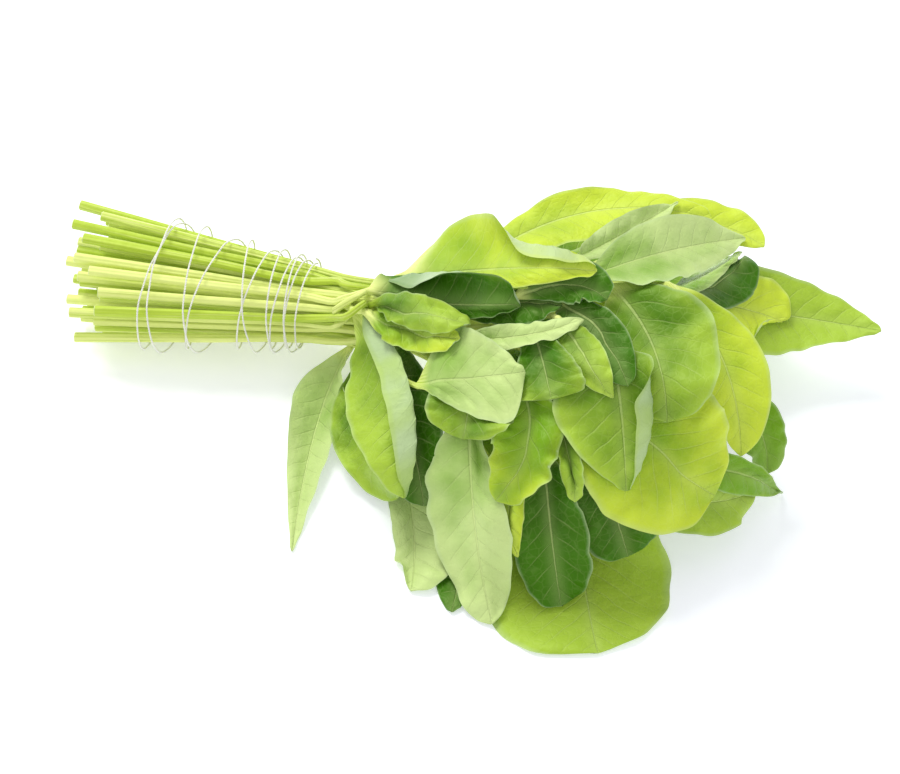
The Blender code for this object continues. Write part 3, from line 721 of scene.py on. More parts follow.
class FineLeaf:
    """One leafy stem as a fine closed mesh, with the places that its material reads."""

    def __init__(self, stem, space, draw):
        self.stem = stem
        self.leaf = stem.leaf
        self.draw = draw
        self.space = space
        shares = np.linspace(0.0, 1.0, BLADE_ROWS)
        self.share = 0.5 * shares + 0.5 * (1 - (1 - shares) ** 1.7)
        self.blade()
        self.stalk()

    def columns(self):
        """Places across the blade from -1 to 1: even round the stem, closer at the rib and the edges."""
        turn = math.pi * (1 - np.linspace(0.0, 1.0, COLUMNS))
        round_stem = np.cos(turn)
        even = np.linspace(-1.0, 1.0, COLUMNS)
        flat = np.sign(even) * (0.45 * np.abs(even) + 0.55 * np.abs(even) ** 1.6)
        mix = ease(self.share / 0.1)[:, None]
        return round_stem + (flat - round_stem) * mix

    def wander(self, count):
        """A gentle random wave along the blade."""
        wave = np.zeros(len(self.share))
        for number in range(count):
            cycles = self.draw.uniform(1.2, 2.2) * (number + 1)
            wave += math.sin(math.pi * (number + 1) / (count + 1)) * np.sin(
                2 * math.pi * (cycles * self.share + self.draw.random())
            )
        return wave / count

    def blade(self):
        """Mid surface, thickness and material places of the blade."""
        coarse = self.kept_fold(self.stem.surface[self.stem.first_blade :].copy())
        rings = np.array(BLADE_RINGS)
        across = np.array(ACROSS)
        rows = smooth_rows(coarse, rings, self.share)
        column = self.columns()
        tip = np.sqrt(np.clip(1 - ((self.share - TIP_FROM) / (1.001 - TIP_FROM)) ** 2, 0.02, 1.0))
        tip = np.where(self.share > TIP_FROM, tip, 1.0)
        swell = ease(self.share / 0.12) * ease((1 - self.share) / 0.06)
        sides = [self.wander(EDGE_WAVES) * EDGE_WANDER * swell for _ in range(2)]
        wide = np.where(column < 0, sides[0][:, None], sides[1][:, None])
        reach = column * (1 + wide * np.abs(column)) * tip[:, None]
        mid = smooth_across(rows, across, reach)
        length = np.linalg.norm(np.diff(rows[:, 2], axis=0), axis=1)
        self.along = np.concatenate([[0.0], np.cumsum(length)])
        width = np.linalg.norm(np.diff(rows, axis=1), axis=2).sum(axis=1) / 2
        self.across = reach * width[:, None]
        self.column = column
        normal = units(np.cross(np.gradient(mid, axis=1), np.gradient(mid, axis=0)))
        limit = smooth_across(
            smooth_rows(self.space[:, :, None], rings, self.share), across, np.clip(reach, -1, 1)
        )[:, :, 0]
        push = self.relief(column, swell)
        push = np.clip(push, -np.maximum(limit, 0.0), np.maximum(limit, 0.0))
        mid = mid + normal * push[:, :, None]
        self.mid = mid
        self.normal = units(np.cross(np.gradient(mid, axis=1), np.gradient(mid, axis=0)))
        self.thickness()

    def kept_fold(self, coarse):
        """The coarse rows, with a folded flap still turned over where they end."""
        for hand, half, edge in ((0, 1, 0), (1, 3, 4)):
            if self.leaf.curl[hand] < 90:
                continue
            if self.leaf.curl_from >= 0.0:
                turned = unit(coarse[-3, edge] - coarse[-3, half])
                for row in (-2, -1):
                    width = np.linalg.norm(coarse[row, edge] - coarse[row, half])
                    coarse[row, edge] = coarse[row, half] + width * turned
            for row in range(2, len(coarse)):
                along = coarse[min(row + 1, len(coarse) - 1), half] - coarse[row - 1, half]
                above = unit(np.cross(coarse[row, half] - coarse[row, 2], along)) * (1 if hand else -1)
                height = above @ (coarse[row, edge] - coarse[row, half])
                coarse[row, edge] += above * max(0.0, FOLD_GAP - height)
        return coarse

    def relief(self, column, swell):
        """How far the blade stands off its plain form: a waved edge, and swellings between the veins."""
        size = np.abs(column)
        push = np.zeros(column.shape)
        for hand, curl in zip((column < 0, column >= 0), self.leaf.curl):
            wave = self.wander(EDGE_WAVES + 1) * (1.1 + 0.9 * self.leaf.wave) * (0.3 if curl > 90 else 1.0)
            push += hand * wave[:, None] * size**2.2
        lateral = (self.along[:, None] - VEIN_SLANT * np.abs(self.across)) / VEIN_SPACING
        lateral += 0.5 * (column < 0)
        swelling = np.abs(np.sin(math.pi * lateral)) ** 0.8 - 0.5
        push += QUILTING * swelling * np.sin(math.pi * np.clip(size * 1.05, 0, 1)) ** 0.6
        push -= 0.35 * np.exp(-((self.across / 1.6) ** 2))
        return push * swell[:, None]

    def thickness(self):
        """Half thickness above and below the mid surface: round at the stem, then thin with a rib."""
        share = self.share[:, None]
        size = np.clip(np.abs(self.column), 0.0, 1.0)
        round_stem = STEM_RADIUS_BLADE * np.sqrt(np.clip(1 - size**2, 0.0, 1.0))
        thin = FINE_THICKNESS * (1 - EDGE_THICKNESS * size**2)
        rib = np.exp(-((self.across / RIB_HALF_WIDTH) ** 2))
        fade = (1 - share) ** 0.8
        mix = ease(share / ROUND_UP_TO)
        self.above = round_stem + (thin + RIB_TOP * fade * rib * 0.5 - round_stem) * mix
        deep_rib = (STEM_RADIUS_BLADE - FINE_THICKNESS) * fade * rib
        self.below = round_stem + (thin + deep_rib - round_stem) * mix

    def stalk(self):
        """Rings of the stem, from the cut end to the blade."""
        stem = self.stem
        coarse = stem.surface[: stem.first_blade + 1, 2]
        steps = np.linalg.norm(np.diff(coarse, axis=0), axis=1)
        places = np.concatenate([[0.0], np.cumsum(steps)])
        fine = np.linspace(0.0, places[-1], STEM_ROWS + 1)[:-1]
        fine = np.insert(fine, 1, CUT_RIM)
        self.stalk_along = fine - places[-1]
        centre = smooth_rows(coarse, places, fine)
        along = units(np.gradient(np.concatenate([centre, coarse[-1:]]), axis=0)[:-1])
        side = smooth_rows(stem.sides[: stem.first_blade + 1], places, fine)
        side = units(side - (side * along).sum(axis=1)[:, None] * along)
        normal = np.cross(side, along)
        coarse_radius = np.append(stem.radii[: stem.first_blade], STEM_RADIUS_BLADE)
        radius = np.interp(fine, places, coarse_radius)
        turn = math.pi * (1 - np.linspace(0.0, 1.0, COLUMNS))
        turns = np.concatenate([turn, -turn[1:-1][::-1]])
        ribs = 1 - np.cos(STEM_RIBS * turns + self.draw.uniform(0, 6))
        ribbed = radius[:, None] - STEM_RIB_HEIGHT * ribs[None, :]
        groove = GROOVE_DEPTH * np.exp(-(((turns - 0.5 * math.pi) / 0.5) ** 2))
        ribbed = ribbed * (1 - groove)[None, :]
        bump = 1 + 0.03 * np.sin(fine / 17 + self.draw.uniform(0, 6))
        ribbed = ribbed * bump[:, None]
        cos, sin = np.cos(turns)[None, :, None], np.sin(turns)[None, :, None]
        outwards = cos * side[:, None] + sin * normal[:, None]
        self.stalk_rings = centre[:, None] + ribbed[:, :, None] * outwards
        self.stalk_across = np.broadcast_to(turns * STEM_RADIUS_BLADE, self.stalk_rings.shape[:2])

    def blade_rings(self):
        """Outer points of the blade: over the top from left to right, and back underneath."""
        top = self.mid + self.normal * self.above[:, :, None]
        under = self.mid - self.normal * self.below[:, :, None]
        edge_left = 0.5 * (top[:, :1] + under[:, :1])
        edge_right = 0.5 * (top[:, -1:] + under[:, -1:])
        return np.concatenate([edge_left, top[:, 1:-1], edge_right, under[:, 1:-1][:, ::-1]], axis=1)

    def mesh(self, name, origin):
        """The closed mesh, in metres, with its attributes."""
        blade = self.blade_rings()
        rings = np.concatenate([self.stalk_rings, blade])
        rows, around = rings.shape[:2]
        cut, tip = rings[0].mean(axis=0), rings[-1].mean(axis=0)
        points = np.concatenate([rings.reshape(-1, 3), [cut, tip]])
        points[:, 2] = np.maximum(points[:, 2], origin[2] + 0.01)
        index = np.arange(rows * around).reshape(rows, around)
        turned = np.roll(index, -1, axis=1)
        quads = np.stack([index[:-1], turned[:-1], turned[1:], index[1:]], axis=-1).reshape(-1, 4)
        first = np.stack([np.full(around, rows * around), turned[0], index[0]], axis=-1)
        last = np.stack([np.full(around, rows * around + 1), index[-1], turned[-1]], axis=-1)
        mesh = bpy.data.meshes.new(name)
        faces = [tuple(map(int, face)) for group in (quads, first, last) for face in group]
        mesh.from_pydata([tuple(p) for p in (points - origin) / 1000.0], [], faces)
        self.store(mesh)
        mesh.shade_smooth()
        mesh.set_sharp_from_angle(angle=math.radians(SHARP_ABOVE))
        mesh.validate()
        return mesh

    def store(self, mesh):
        """Writes what the material reads: places on the leaf, its parts, its tint, and how deep its green is,
        which is partly painted shade.
        """
        face = np.zeros(self.stalk_rings.shape[1])
        face[COLUMNS:] = 1.0
        face[[0, COLUMNS - 1]] = 0.5
        tint = self.draw.random()
        # how deep the leaf's green is: partly its own colour, partly painted shade where it lies in shadow
        depth_with_shade = DEPTHS_WITH_SHADE.get(self.leaf.name, 0.5)
        cut = np.arange(len(self.stalk_along))[:, None] == 0
        values = {
            "across": (self.stalk_across, self.both_faces(self.across)),
            "along": (self.stalk_along[:, None], self.along[:, None]),
            "edge": (0.0, np.abs(self.both_faces(self.column))),
            "stalk": (1.0, 1 - ease(self.share / 0.16)[:, None]),
            "under": (face, face),
            "tint": (tint, tint),
            "depth_with_shade": (depth_with_shade, depth_with_shade),
            "blade_length": (self.along[-1], self.along[-1]),
            "cut": (cut, 0.0),
        }
        for name, (stalk, blade) in values.items():
            whole = np.concatenate([
                np.broadcast_to(stalk, (len(self.stalk_along), len(face))),
                np.broadcast_to(blade, (len(self.share), len(face))),
            ])
            layer = mesh.attributes.new(name, "FLOAT", "POINT")
            ends = [whole[0].mean(), whole[-1].mean()]
            layer.data.foreach_set("value", np.append(whole.ravel(), ends).astype(np.float32))

    @staticmethod
    def both_faces(grid):
        """Values of the upper face, and the same ones back underneath."""
        return np.concatenate([grid, grid[:, 1:-1][:, ::-1]], axis=1)


class Signal:
    """A value in a node tree. Sums and products of it become nodes."""

    def __init__(self, wires, socket):
        self.wires = wires
        self.socket = socket

    def __add__(self, other):
        return self.wires.math("ADD", self, other)

    def __sub__(self, other):
        return self.wires.math("SUBTRACT", self, other)

    def __rsub__(self, other):
        return self.wires.math("SUBTRACT", other, self)

    def __mul__(self, other):
        return self.wires.math("MULTIPLY", self, other)

    def __truediv__(self, other):
        return self.wires.math("DIVIDE", self, other)

    def __abs__(self):
        return self.wires.math("ABSOLUTE", self)

    __radd__ = __add__
    __rmul__ = __mul__


class Wires:
    """Adds nodes to a node tree, one call for each, and joins what they are given."""

    def __init__(self, tree):
        self.tree = tree

    def add(self, kind, values=(), **settings):
        """A node with its settings, and its inputs set or linked by name or number."""
        node = self.tree.nodes.new(kind)
        for name, value in settings.items():
            setattr(node, name, value)
        self.fill(node, values)
        return node

    def fill(self, node, values):
        """Links or sets some inputs of a node."""
        for name, value in dict(values).items():
            socket = node.inputs[name]
            if isinstance(value, Signal):
                self.tree.links.new(value.socket, socket)
            else:
                socket.default_value = value

    def get(self, node, name=0):
        """An output of a node."""
        return Signal(self, node.outputs[name])

    def math(self, operation, first, second=0.0):
        """The result of a sum on one or two values."""
        return self.get(self.add("ShaderNodeMath", {0: first, 1: second}, operation=operation))

    def vector(self, operation, values):
        """The result of a sum on vectors."""
        return self.get(self.add("ShaderNodeVectorMath", values, operation=operation))

    def most(self, *values):
        """The largest of some values."""
        largest = values[0]
        for value in values[1:]:
            largest = self.math("MAXIMUM", largest, value)
        return largest

    def rise(self, value, low, high):
        """A mask that rises smoothly from 0 at low to 1 at high, and falls where high is the smaller."""
        values = {"Value": value, "From Min": min(low, high), "From Max": max(low, high)}
        if low > high:
            values.update({"To Min": 1.0, "To Max": 0.0})
        return self.get(self.add("ShaderNodeMapRange", values, interpolation_type="SMOOTHSTEP"), "Result")

    def mix(self, share, first, second):
        """A colour between two."""
        return self.get(self.add("ShaderNodeMix", {0: share, 6: first, 7: second}, data_type="RGBA"), 2)

    def noise(self, vector, scale, detail=2.0):
        """Cloudy noise from 0 to 1."""
        inputs = {"Vector": vector, "Scale": scale, "Detail": detail}
        return self.get(self.add("ShaderNodeTexNoise", inputs), "Fac")

    def place(self, name):
        """A value that the mesh holds."""
        return self.get(self.add("ShaderNodeAttribute", attribute_name=name), "Fac")

    def spot(self, *values):
        """A point from its three coordinates."""
        return self.get(self.add("ShaderNodeCombineXYZ", dict(enumerate(values))))


def new_group(name, inputs, outputs):
    """An empty shader node group with named sockets. Returns it with its wires and its two end nodes."""
    tree = bpy.data.node_groups.new(name, "ShaderNodeTree")
    for title, default in inputs.items():
        kind = "NodeSocketColor" if isinstance(default, tuple) else "NodeSocketFloat"
        tree.interface.new_socket(title, in_out="INPUT", socket_type=kind).default_value = default
    for title, kind in outputs.items():
        tree.interface.new_socket(title, in_out="OUTPUT", socket_type=kind)
    wires = Wires(tree)
    return tree, wires, wires.add("NodeGroupInput"), wires.add("NodeGroupOutput")


def vein_group():
    """Masks of the midrib, the side veins and the fine net, from the places across and along the blade."""
    names = ("Midrib", "Side Veins", "Net")
    tree, wires, given, out = new_group(
        "Leaf veins", {"Spacing": VEIN_SPACING, "Slant": VEIN_SLANT}, dict.fromkeys(names, "NodeSocketFloat")
    )
    spacing, slant = wires.get(given, "Spacing"), wires.get(given, "Slant")
    across, along, edge = wires.place("across"), wires.place("along"), wires.place("edge")
    spot = wires.spot(across, along, wires.place("tint") * TINT_APART)
    size = abs(across)
    shift = (wires.noise(spot, 0.06) - 0.5) * VEIN_STRAY
    lateral = (along - size * slant + shift) / spacing + wires.math("LESS_THAN", across, 0.0) * 0.5
    off = (0.5 - abs(wires.math("FRACT", lateral) - 0.5)) * spacing
    cells = wires.add("ShaderNodeTexVoronoi", {"Vector": spot, "Scale": 0.3}, feature="DISTANCE_TO_EDGE")
    narrower = (1.0 - along / wires.place("blade_length")) * 0.75
    wires.fill(out, {
        "Midrib": wires.rise(size - narrower, 0.4, -0.1),
        "Side Veins": wires.rise(off, 0.62, 0.12) * wires.rise(edge, 1.0, 0.35),
        "Net": wires.rise(wires.get(cells, "Distance"), 0.1, 0.0),
    })
    return tree


def leaf_group(look, veins):
    """Colour, roughness and relief of a whole leafy stem."""
    tree, wires, given, out = new_group(
        "Leaf surface",
        leaf_colours(look.lime, look.deep, look),
        {"Color": "NodeSocketColor", "Roughness": "NodeSocketFloat", "Height": "NodeSocketFloat"},
    )
    vein = wires.add("ShaderNodeGroup", node_tree=veins)
    midrib, side, net = [wires.get(vein, name) for name in ("Midrib", "Side Veins", "Net")]
    across, along, edge, stalk, under = [
        wires.place(name) for name in ("across", "along", "edge", "stalk", "under")
    ]
    apart = wires.place("tint") * TINT_APART
    spot = wires.spot(across, along, apart)
    patches = wires.noise(spot, 0.045, 3.0)
    grain = wires.noise(spot, 0.9, 3.0)

    # Random patches and each leaf's own green, with painted shade: darker towards the base where the leaves
    # crowd, lighter towards the tip and towards the margins.
    grown = along / wires.place("blade_length")
    tone_and_painted_shade = patches * 0.95 + wires.place("depth_with_shade") * 0.9
    tone_and_painted_shade = tone_and_painted_shade - wires.rise(edge, 0.35, 1.0) * 0.22 - wires.rise(grown, 0.15, 0.9) * 0.38
    tone_and_painted_shade = wires.rise(tone_and_painted_shade, 0.1, 1.05)
    blade = wires.mix(tone_and_painted_shade, wires.get(given, "Blade Light"), wires.get(given, "Blade Dark"))
    lit = wires.most(side * 0.16, wires.rise(abs(across), 6.0, 0.0) * 0.14, midrib * 0.42, net * 0.05)
    blade = wires.mix(lit, blade, wires.get(given, "Vein"))
    # painted highlight: a thin pale rim along every margin
    blade = wires.mix(wires.rise(edge, 0.94, 1.0) * 0.18, blade, wires.get(given, "Vein"))
    cloudy = wires.rise(patches, 0.3, 0.7) * 0.4 + 0.45
    blade = wires.mix(under * cloudy, blade, wires.get(given, "Underside"))

    streaks = wires.noise(wires.spot(across * 1.6, along * 0.02, apart), 1.0, 4.0)
    streaks = wires.rise(streaks + (wires.place("tint") - 0.5) * 0.5, 0.35, 0.75)
    stem = wires.mix(streaks, wires.get(given, "Stem"), wires.get(given, "Stem Shade"))
    stem = wires.mix(wires.place("cut"), stem, wires.get(given, "Cut"))

    carved = (side * 0.5 + midrib + net * 0.14) * (under * 2.0 - 1.0) * (1.0 - stalk)
    crumpled = grain * 0.2 + wires.noise(spot, 0.16) * 2.2
    wires.fill(out, {
        "Color": wires.mix(stalk, blade, stem),
        "Roughness": grain * 0.22 + 0.36,
        "Height": carved + crumpled - streaks * stalk * 0.5,
    })
    return tree


def leaf_colours(light, dark, look):
    """The colours that a leaf's surface takes."""
    colours = {
        "Blade Light": light, "Blade Dark": dark, "Vein": look.vein, "Underside": look.under,
        "Stem": look.stem, "Stem Shade": look.stem_shade, "Cut": look.cut,
    }
    return {name: (*colour, 1.0) for name, colour in colours.items()}


def plain_material(name):
    """A new material. Returns it with its wires and its shader."""
    material = bpy.data.materials.new(name)
    material.use_nodes = True
    return material, Wires(material.node_tree), material.node_tree.nodes["Principled BSDF"]


def leaf_material(name, light, dark, look, surface):
    """A leaf's finish, between a light and a dark green."""
    material, wires, shader = plain_material(name)
    leaf = wires.add("ShaderNodeGroup", leaf_colours(light, dark, look), node_tree=surface)
    height = wires.get(leaf, "Height")
    bump = wires.add("ShaderNodeBump", {"Strength": 0.55, "Distance": 0.0007, "Height": height})
    wires.fill(shader, {
        "Base Color": wires.get(leaf, "Color"),
        "Roughness": wires.get(leaf, "Roughness"),
        "Normal": wires.get(bump, "Normal"),
        # painted glow: the leaf's colour shines evenly from the blade, standing in for light through it
        "Emission Color": wires.get(leaf, "Color"),
        "Emission Strength": look.glow,
        "Specular IOR Level": 0.34,
        "Specular Tint": (0.85, 1.0, 0.4, 1.0),
        "Sheen Weight": look.bloom,
        "Sheen Roughness": 0.45,
        "Sheen Tint": (0.8, 1.0, 0.9, 1.0),
    })
    return material


def cotton_material(look):
    """Soft undyed cotton."""
    material, wires, shader = plain_material("undyed cotton")
    place = wires.get(wires.add("ShaderNodeTexCoord"), "Object")
    fuzz = wires.noise(place, 4200.0, 3.0)
    shade = wires.rise(fuzz * 0.5 + wires.noise(place, 160.0) * 0.5, 0.35, 0.7)
    worn = tuple(0.88 * part for part in look.cotton)
    bump = wires.add("ShaderNodeBump", {"Strength": 0.5, "Distance": 0.0001, "Height": fuzz})
    wires.fill(shader, {
        "Base Color": wires.mix(shade, (*worn, 1.0), (*look.cotton, 1.0)),
        "Roughness": fuzz * 0.2 + 0.7,
        "Normal": wires.get(bump, "Normal"),
        "Sheen Weight": 0.3,
    })
    return material


def thread_tree():
    """Geometry nodes: two plies twisted round each other along a path."""
    tree = bpy.data.node_groups.new("Twisted thread", "GeometryNodeTree")
    sockets = (
        ("Path", "NodeSocketGeometry"), ("Ply Radius", "NodeSocketFloat"), ("Pitch", "NodeSocketFloat"),
        ("Step", "NodeSocketFloat"), ("Material", "NodeSocketMaterial"),
    )
    for name, kind in sockets:
        tree.interface.new_socket(name, in_out="INPUT", socket_type=kind)
    tree.interface.new_socket("Thread", in_out="OUTPUT", socket_type="NodeSocketGeometry")
    wires = Wires(tree)
    given, out = wires.add("NodeGroupInput"), wires.add("NodeGroupOutput")
    radius = wires.get(given, "Ply Radius")
    curve = wires.get(wires.add("GeometryNodeMeshToCurve", {0: wires.get(given, "Path")}))
    steps = {"Curve": curve, "Length": wires.get(given, "Step")}
    curve = wires.get(wires.add("GeometryNodeResampleCurve", steps, mode="LENGTH"))
    length = wires.get(wires.add("GeometryNodeSplineParameter"), "Length")
    angle = length / wires.get(given, "Pitch") * (2 * math.pi)
    normal = wires.get(wires.add("GeometryNodeInputNormal"))
    tangent = wires.get(wires.add("GeometryNodeInputTangent"))
    other = wires.vector("CROSS_PRODUCT", {0: tangent, 1: normal})
    ring = wires.get(wires.add("GeometryNodeCurvePrimitiveCircle", {"Resolution": 6, "Radius": radius}))
    joined = wires.add("GeometryNodeJoinGeometry")
    for ply in range(2):
        turn = angle + math.pi * ply
        first = wires.vector("SCALE", {0: normal, "Scale": wires.math("COSINE", turn) * radius})
        second = wires.vector("SCALE", {0: other, "Scale": wires.math("SINE", turn) * radius})
        offset = wires.vector("ADD", {0: first, 1: second})
        moved = wires.get(wires.add("GeometryNodeSetPosition", {"Geometry": curve, "Offset": offset}))
        tubing = {"Curve": moved, "Profile Curve": ring, "Fill Caps": True}
        wires.fill(joined, {0: wires.get(wires.add("GeometryNodeCurveToMesh", tubing))})
    smooth = wires.get(wires.add("GeometryNodeSetShadeSmooth", {0: wires.get(joined)}))
    real = wires.get(wires.add("GeometryNodeRealizeInstances", {0: smooth}))
    finish = {"Geometry": real, "Material": wires.get(given, "Material")}
    wires.fill(out, {0: wires.get(wires.add("GeometryNodeSetMaterial", finish))})
    return tree


def run_tree(path, tree, values):
    """The plain mesh that a geometry node tree makes of an object."""
    modifier = path.modifiers.new("made", "NODES")
    modifier.node_group = tree
    for item in tree.interface.items_tree:
        if item.in_out == "INPUT" and item.name in values:
            modifier[item.identifier] = values[item.name]
    bpy.context.view_layer.update()
    seen = path.evaluated_get(bpy.context.evaluated_depsgraph_get())
    mesh = bpy.data.meshes.new_from_object(seen)
    path.modifiers.remove(modifier)
    return mesh


class Bunch:
    """The laid leaves, worked out once and read by every operator."""

    laid = []
    origin = None
    route = None

    @classmethod
    def lay(cls):
        """Lays the leaves and the thread, and finds the origin under the middle of the leaves' box."""
        if cls.laid:
            return
        cls.laid = lay_leaves()
        cls.route = thread_route(cls.laid)
        points = np.concatenate([np.array(shell) for _, shell in cls.laid])
        low, high = points.min(axis=0), points.max(axis=0)
        cls.origin = np.array([(low[0] + high[0]) / 2, (low[1] + high[1]) / 2, low[2]])


def colour(name, description, default):
    """A colour that the panel shows."""
    return bpy.props.FloatVectorProperty(
        name=name, description=description, default=default, subtype="COLOR", min=0.0, max=1.0
    )


def amount(name, description, default, **settings):
    """A number that the panel shows."""
    return bpy.props.FloatProperty(name=name, description=description, default=default, min=0.0, **settings)


class SorrelLeafLook(bpy.types.PropertyGroup):
    """Colours of the leaves and the stems."""

    # The young leaf's yellow-green is partly its own colour and partly painted light: the brightness of
    # leaves lit through from behind.
    lime: colour("Young leaf", "Colour of a young backlit leaf that light comes through", (0.59, 0.73, 0.05))
    green: colour("Leaf", "Colour of a full-grown leaf", (0.39, 0.57, 0.05))
    shade: colour("Leaf in shade", "Darker patches of a young or pale leaf", (0.16, 0.35, 0.01))
    # The deep green is partly the leaf's own colour and partly painted shade: it goes on leaves that lie in
    # shadow.
    deep: colour("Deep leaf", "Colour of an old, shaded leaf", (0.045, 0.17, 0.002))
    pale: colour("Pale leaf", "Colour of a leaf with a grey bloom", (0.57, 0.71, 0.27))
    vein: colour("Vein", "Colour of the midrib and the side veins", (0.66, 0.77, 0.3))
    under: colour("Underside", "Colour of the paler underside", (0.49, 0.62, 0.36))
    stem: colour("Stem", "Colour of the stems' ribs", (0.78, 0.85, 0.27))
    stem_shade: colour("Stem groove", "Colour of the stems' grooves", (0.47, 0.62, 0.06))
    cut: colour("Cut end", "Colour of a stem's cut end", (0.8, 0.86, 0.5))
    # Painted glow: each leaf gives out its own colour as even light, standing in for light coming through the
    # blades and lifting their shade.
    glow: amount("Painted glow", "Light that the thin blades let through", 0.04, max=1.0)
    bloom: amount("Bloom", "Grey bloom seen at a slant", 0.02, max=1.0)


class SorrelThreadLook(bpy.types.PropertyGroup):
    """Size and colour of the cotton thread."""

    ply_radius: amount("Ply radius", "Radius of each of the two plies", 0.00023, unit="LENGTH", precision=5)
    pitch: amount("Pitch", "Length of one full twist", 0.0024, unit="LENGTH", precision=5)
    cotton: colour("Cotton", "Colour of the thread", (0.97, 0.96, 0.88))


class SorrelStageLook(bpy.types.PropertyGroup):
    """The floor and the light."""

    floor: colour("Floor", "Colour of the floor", (0.9, 0.91, 0.93))
    glow: amount("Floor glow", "Light that the floor gives back into its own shadows", 0.34)
    sky: amount("Sky", "Strength of the light from all round", 0.72)
    key: amount("Key light", "Power of the large soft light", 13.0, unit="POWER")
    fill: amount("Fill light", "Power of the light on the near side", 1.5, unit="POWER")


def new_object(name, data):
    """An object with that data, in the scene."""
    made = bpy.data.objects.new(name, data)
    bpy.context.scene.collection.objects.link(made)
    return made


class SORREL_OT_leaves(bpy.types.Operator):
    """Make every leafy stem as a fine veined mesh in place of its plain solid"""

    bl_idname = "sorrel.leaves"
    bl_label = "Leafy stems"

    def execute(self, context):
        Bunch.lay()
        look = context.scene.sorrel_leaves
        surface = leaf_group(look, vein_group())
        darkest = tuple(0.6 * part for part in look.deep)
        kinds = {
            # young leaves: their own yellow-green with painted backlight
            "lime": ("young backlit leaf", look.lime, look.shade),
            "green": ("grown leaf", look.green, look.deep),
            # shaded leaves take an even darker copy of the deep green as painted shade
            "deep": ("shaded leaf", look.deep, darkest),
            "pale": ("bloomed leaf", look.pale, look.shade),
        }
        greens = {tone: leaf_material(*kind, look, surface) for tone, kind in kinds.items()}
        draw = random.Random(FINE_SEED)
        for number, (stem, _) in enumerate(Bunch.laid):
            space = free_space(stem, self.others(number))
            name = "veined_" + stem.leaf.name
            piece = new_object(name, FineLeaf(stem, space, draw).mesh(name, Bunch.origin))
            piece.data.materials.append(greens[stem.leaf.tone])
            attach(piece, "root")
            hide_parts("leaf_" + stem.leaf.name)
        return {"FINISHED"}

    @staticmethod
    def others(number):
        """Everything but one leaf, as one searchable surface."""
        points, faces = [], []
        for other, (stem, shell) in enumerate(Bunch.laid):
            if other != number:
                shift = len(points)
                points += [Vector(p) for p in shell]
                faces += [tuple(shift + k for k in face) for face in stem.triangles()]
        return BVHTree.FromPolygons(points, faces)


class SORREL_OT_thread(bpy.types.Operator):
    """Wind the twisted cotton thread round the stems"""

    bl_idname = "sorrel.thread"
    bl_label = "Cotton thread"

    def execute(self, context):
        Bunch.lay()
        look = context.scene.sorrel_thread
        steps = np.arange(len(Bunch.route), dtype=float)
        finer = np.linspace(0.0, steps[-1], THREAD_REFINED * len(steps))
        rounded = smooth_rows(Bunch.route, steps, finer)
        points = [tuple(p) for p in (rounded - Bunch.origin) / 1000.0]
        path_mesh = bpy.data.meshes.new("thread path")
        path_mesh.from_pydata(points, [(i, i + 1) for i in range(len(points) - 1)], [])
        path = new_object("thread path", path_mesh)
        values = {
            "Ply Radius": look.ply_radius,
            "Pitch": look.pitch,
            "Step": THREAD_STEP,
            "Material": cotton_material(look),
        }
        mesh = run_tree(path, thread_tree(), values)
        bpy.data.objects.remove(path)
        piece = new_object("cotton_thread", mesh)
        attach(piece, "root")
        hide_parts("tie_thread")
        return {"FINISHED"}


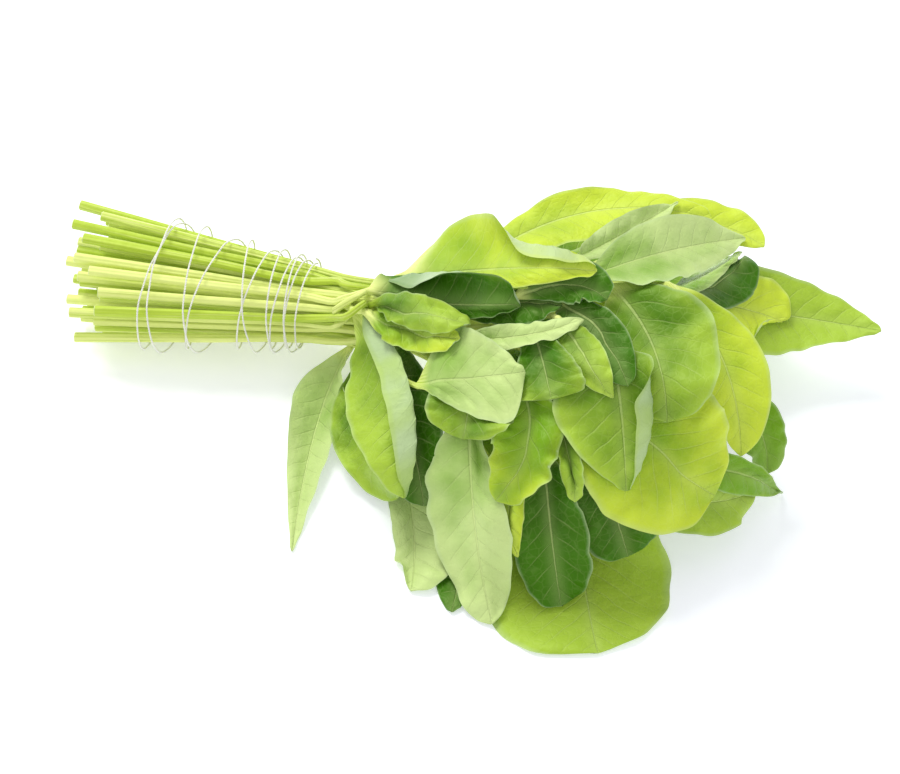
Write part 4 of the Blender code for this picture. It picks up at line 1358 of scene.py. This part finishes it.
class SORREL_OT_stage(bpy.types.Operator):
    """Set the floor, the lights and the camera"""

    bl_idname = "sorrel.stage"
    bl_label = "Stage"

    def execute(self, context):
        Bunch.lay()
        look = context.scene.sorrel_stage
        self.floor(look)
        self.lights(context.scene, look)
        self.camera(context.scene)
        return {"FINISHED"}

    @staticmethod
    def floor(look):
        """A wide pale floor."""
        mesh = bpy.data.meshes.new("floor")
        corners = [(FLOOR_HALF * x, FLOOR_HALF * y, 0.0) for x, y in ((-1, -1), (1, -1), (1, 1), (-1, 1))]
        mesh.from_pydata(corners, [], [(0, 1, 2, 3)])
        floor = new_object("floor", mesh)
        material, wires, shader = plain_material("pale floor")
        cloud = wires.noise(wires.get(wires.add("ShaderNodeTexCoord"), "Object"), 3.0)
        shade = tuple(0.985 * part for part in look.floor)
        wires.fill(shader, {
            "Base Color": wires.mix(cloud, (*look.floor, 1.0), (*shade, 1.0)),
            "Roughness": 0.6,
            "Specular IOR Level": 0.2,
            "Emission Color": (0.93, 0.94, 1.0, 1.0),
            "Emission Strength": look.glow,
        })
        mesh.materials.append(material)

    @staticmethod
    def lights(scene, look):
        """A large soft light from behind on the left, a weak one in front, and a white sky."""
        world = bpy.data.worlds.new("white sky")
        world.use_nodes = True
        sky = world.node_tree.nodes["Background"]
        sky.inputs["Color"].default_value = (0.95, 0.96, 1.0, 1.0)
        sky.inputs["Strength"].default_value = look.sky
        scene.world = world
        scene.view_settings.view_transform = "Standard"
        for name, place, size, power in (
            ("key", (-0.45, 0.75, 1.15), 0.7, look.key), ("fill", (0.3, -1.1, 0.9), 1.0, look.fill),
        ):
            light = bpy.data.lights.new(name, "AREA")
            light.shape = "DISK"
            light.size = size
            light.energy = power
            lamp = new_object(name, light)
            lamp.location = place
            aim = Vector(LAMPS_AIM) - lamp.location
            lamp.rotation_euler = aim.to_track_quat("-Z", "Y").to_euler()

    @staticmethod
    def camera(scene):
        """The camera on the photograph's sight line."""
        camera = bpy.data.cameras.new("camera")
        camera.sensor_width = 36.0
        picture_width = 2 * PICTURE_CENTRE[0] * MM_PER_PIXEL
        camera.lens = camera.sensor_width * SIGHT_DISTANCE / picture_width
        camera.clip_end = 20.0
        seat = new_object("camera", camera)
        seat.location = Vector((EYE - Bunch.origin) / 1000.0)
        target = Vector((TARGET - Bunch.origin) / 1000.0)
        seat.rotation_euler = (target - seat.location).to_track_quat("-Z", "Y").to_euler()
        scene.camera = seat


class SORREL_PT_panel(bpy.types.Panel):
    """Lists the looks and the steps"""

    bl_label = "Sorrel bunch"
    bl_idname = "SORREL_PT_panel"
    bl_space_type = "VIEW_3D"
    bl_region_type = "UI"
    bl_category = "Sorrel"

    def draw(self, context):
        for look in LOOKS:
            box = self.layout.box()
            group = getattr(context.scene, look)
            for name in group.bl_rna.properties.keys():
                if name not in ("rna_type", "name"):
                    box.prop(group, name)
            box.operator(look.replace("_", "."))


LOOKS = {
    "sorrel_leaves": SorrelLeafLook,
    "sorrel_thread": SorrelThreadLook,
    "sorrel_stage": SorrelStageLook,
}
CLASSES = (*LOOKS.values(), SORREL_OT_leaves, SORREL_OT_thread, SORREL_OT_stage, SORREL_PT_panel)


def register():
    """Adds the classes and their places in the scene."""
    for each in CLASSES:
        bpy.utils.register_class(each)
    for name, look in LOOKS.items():
        setattr(bpy.types.Scene, name, bpy.props.PointerProperty(type=look))


def unregister():
    """Takes them away again."""
    for name in LOOKS:
        delattr(bpy.types.Scene, name)
    for each in reversed(CLASSES):
        bpy.utils.unregister_class(each)


def main():
    """Builds the whole bunch."""
    register()
    bpy.ops.sorrel.leaves()
    bpy.ops.sorrel.thread()
    bpy.ops.sorrel.stage()


if __name__ == "__main__":
    main()
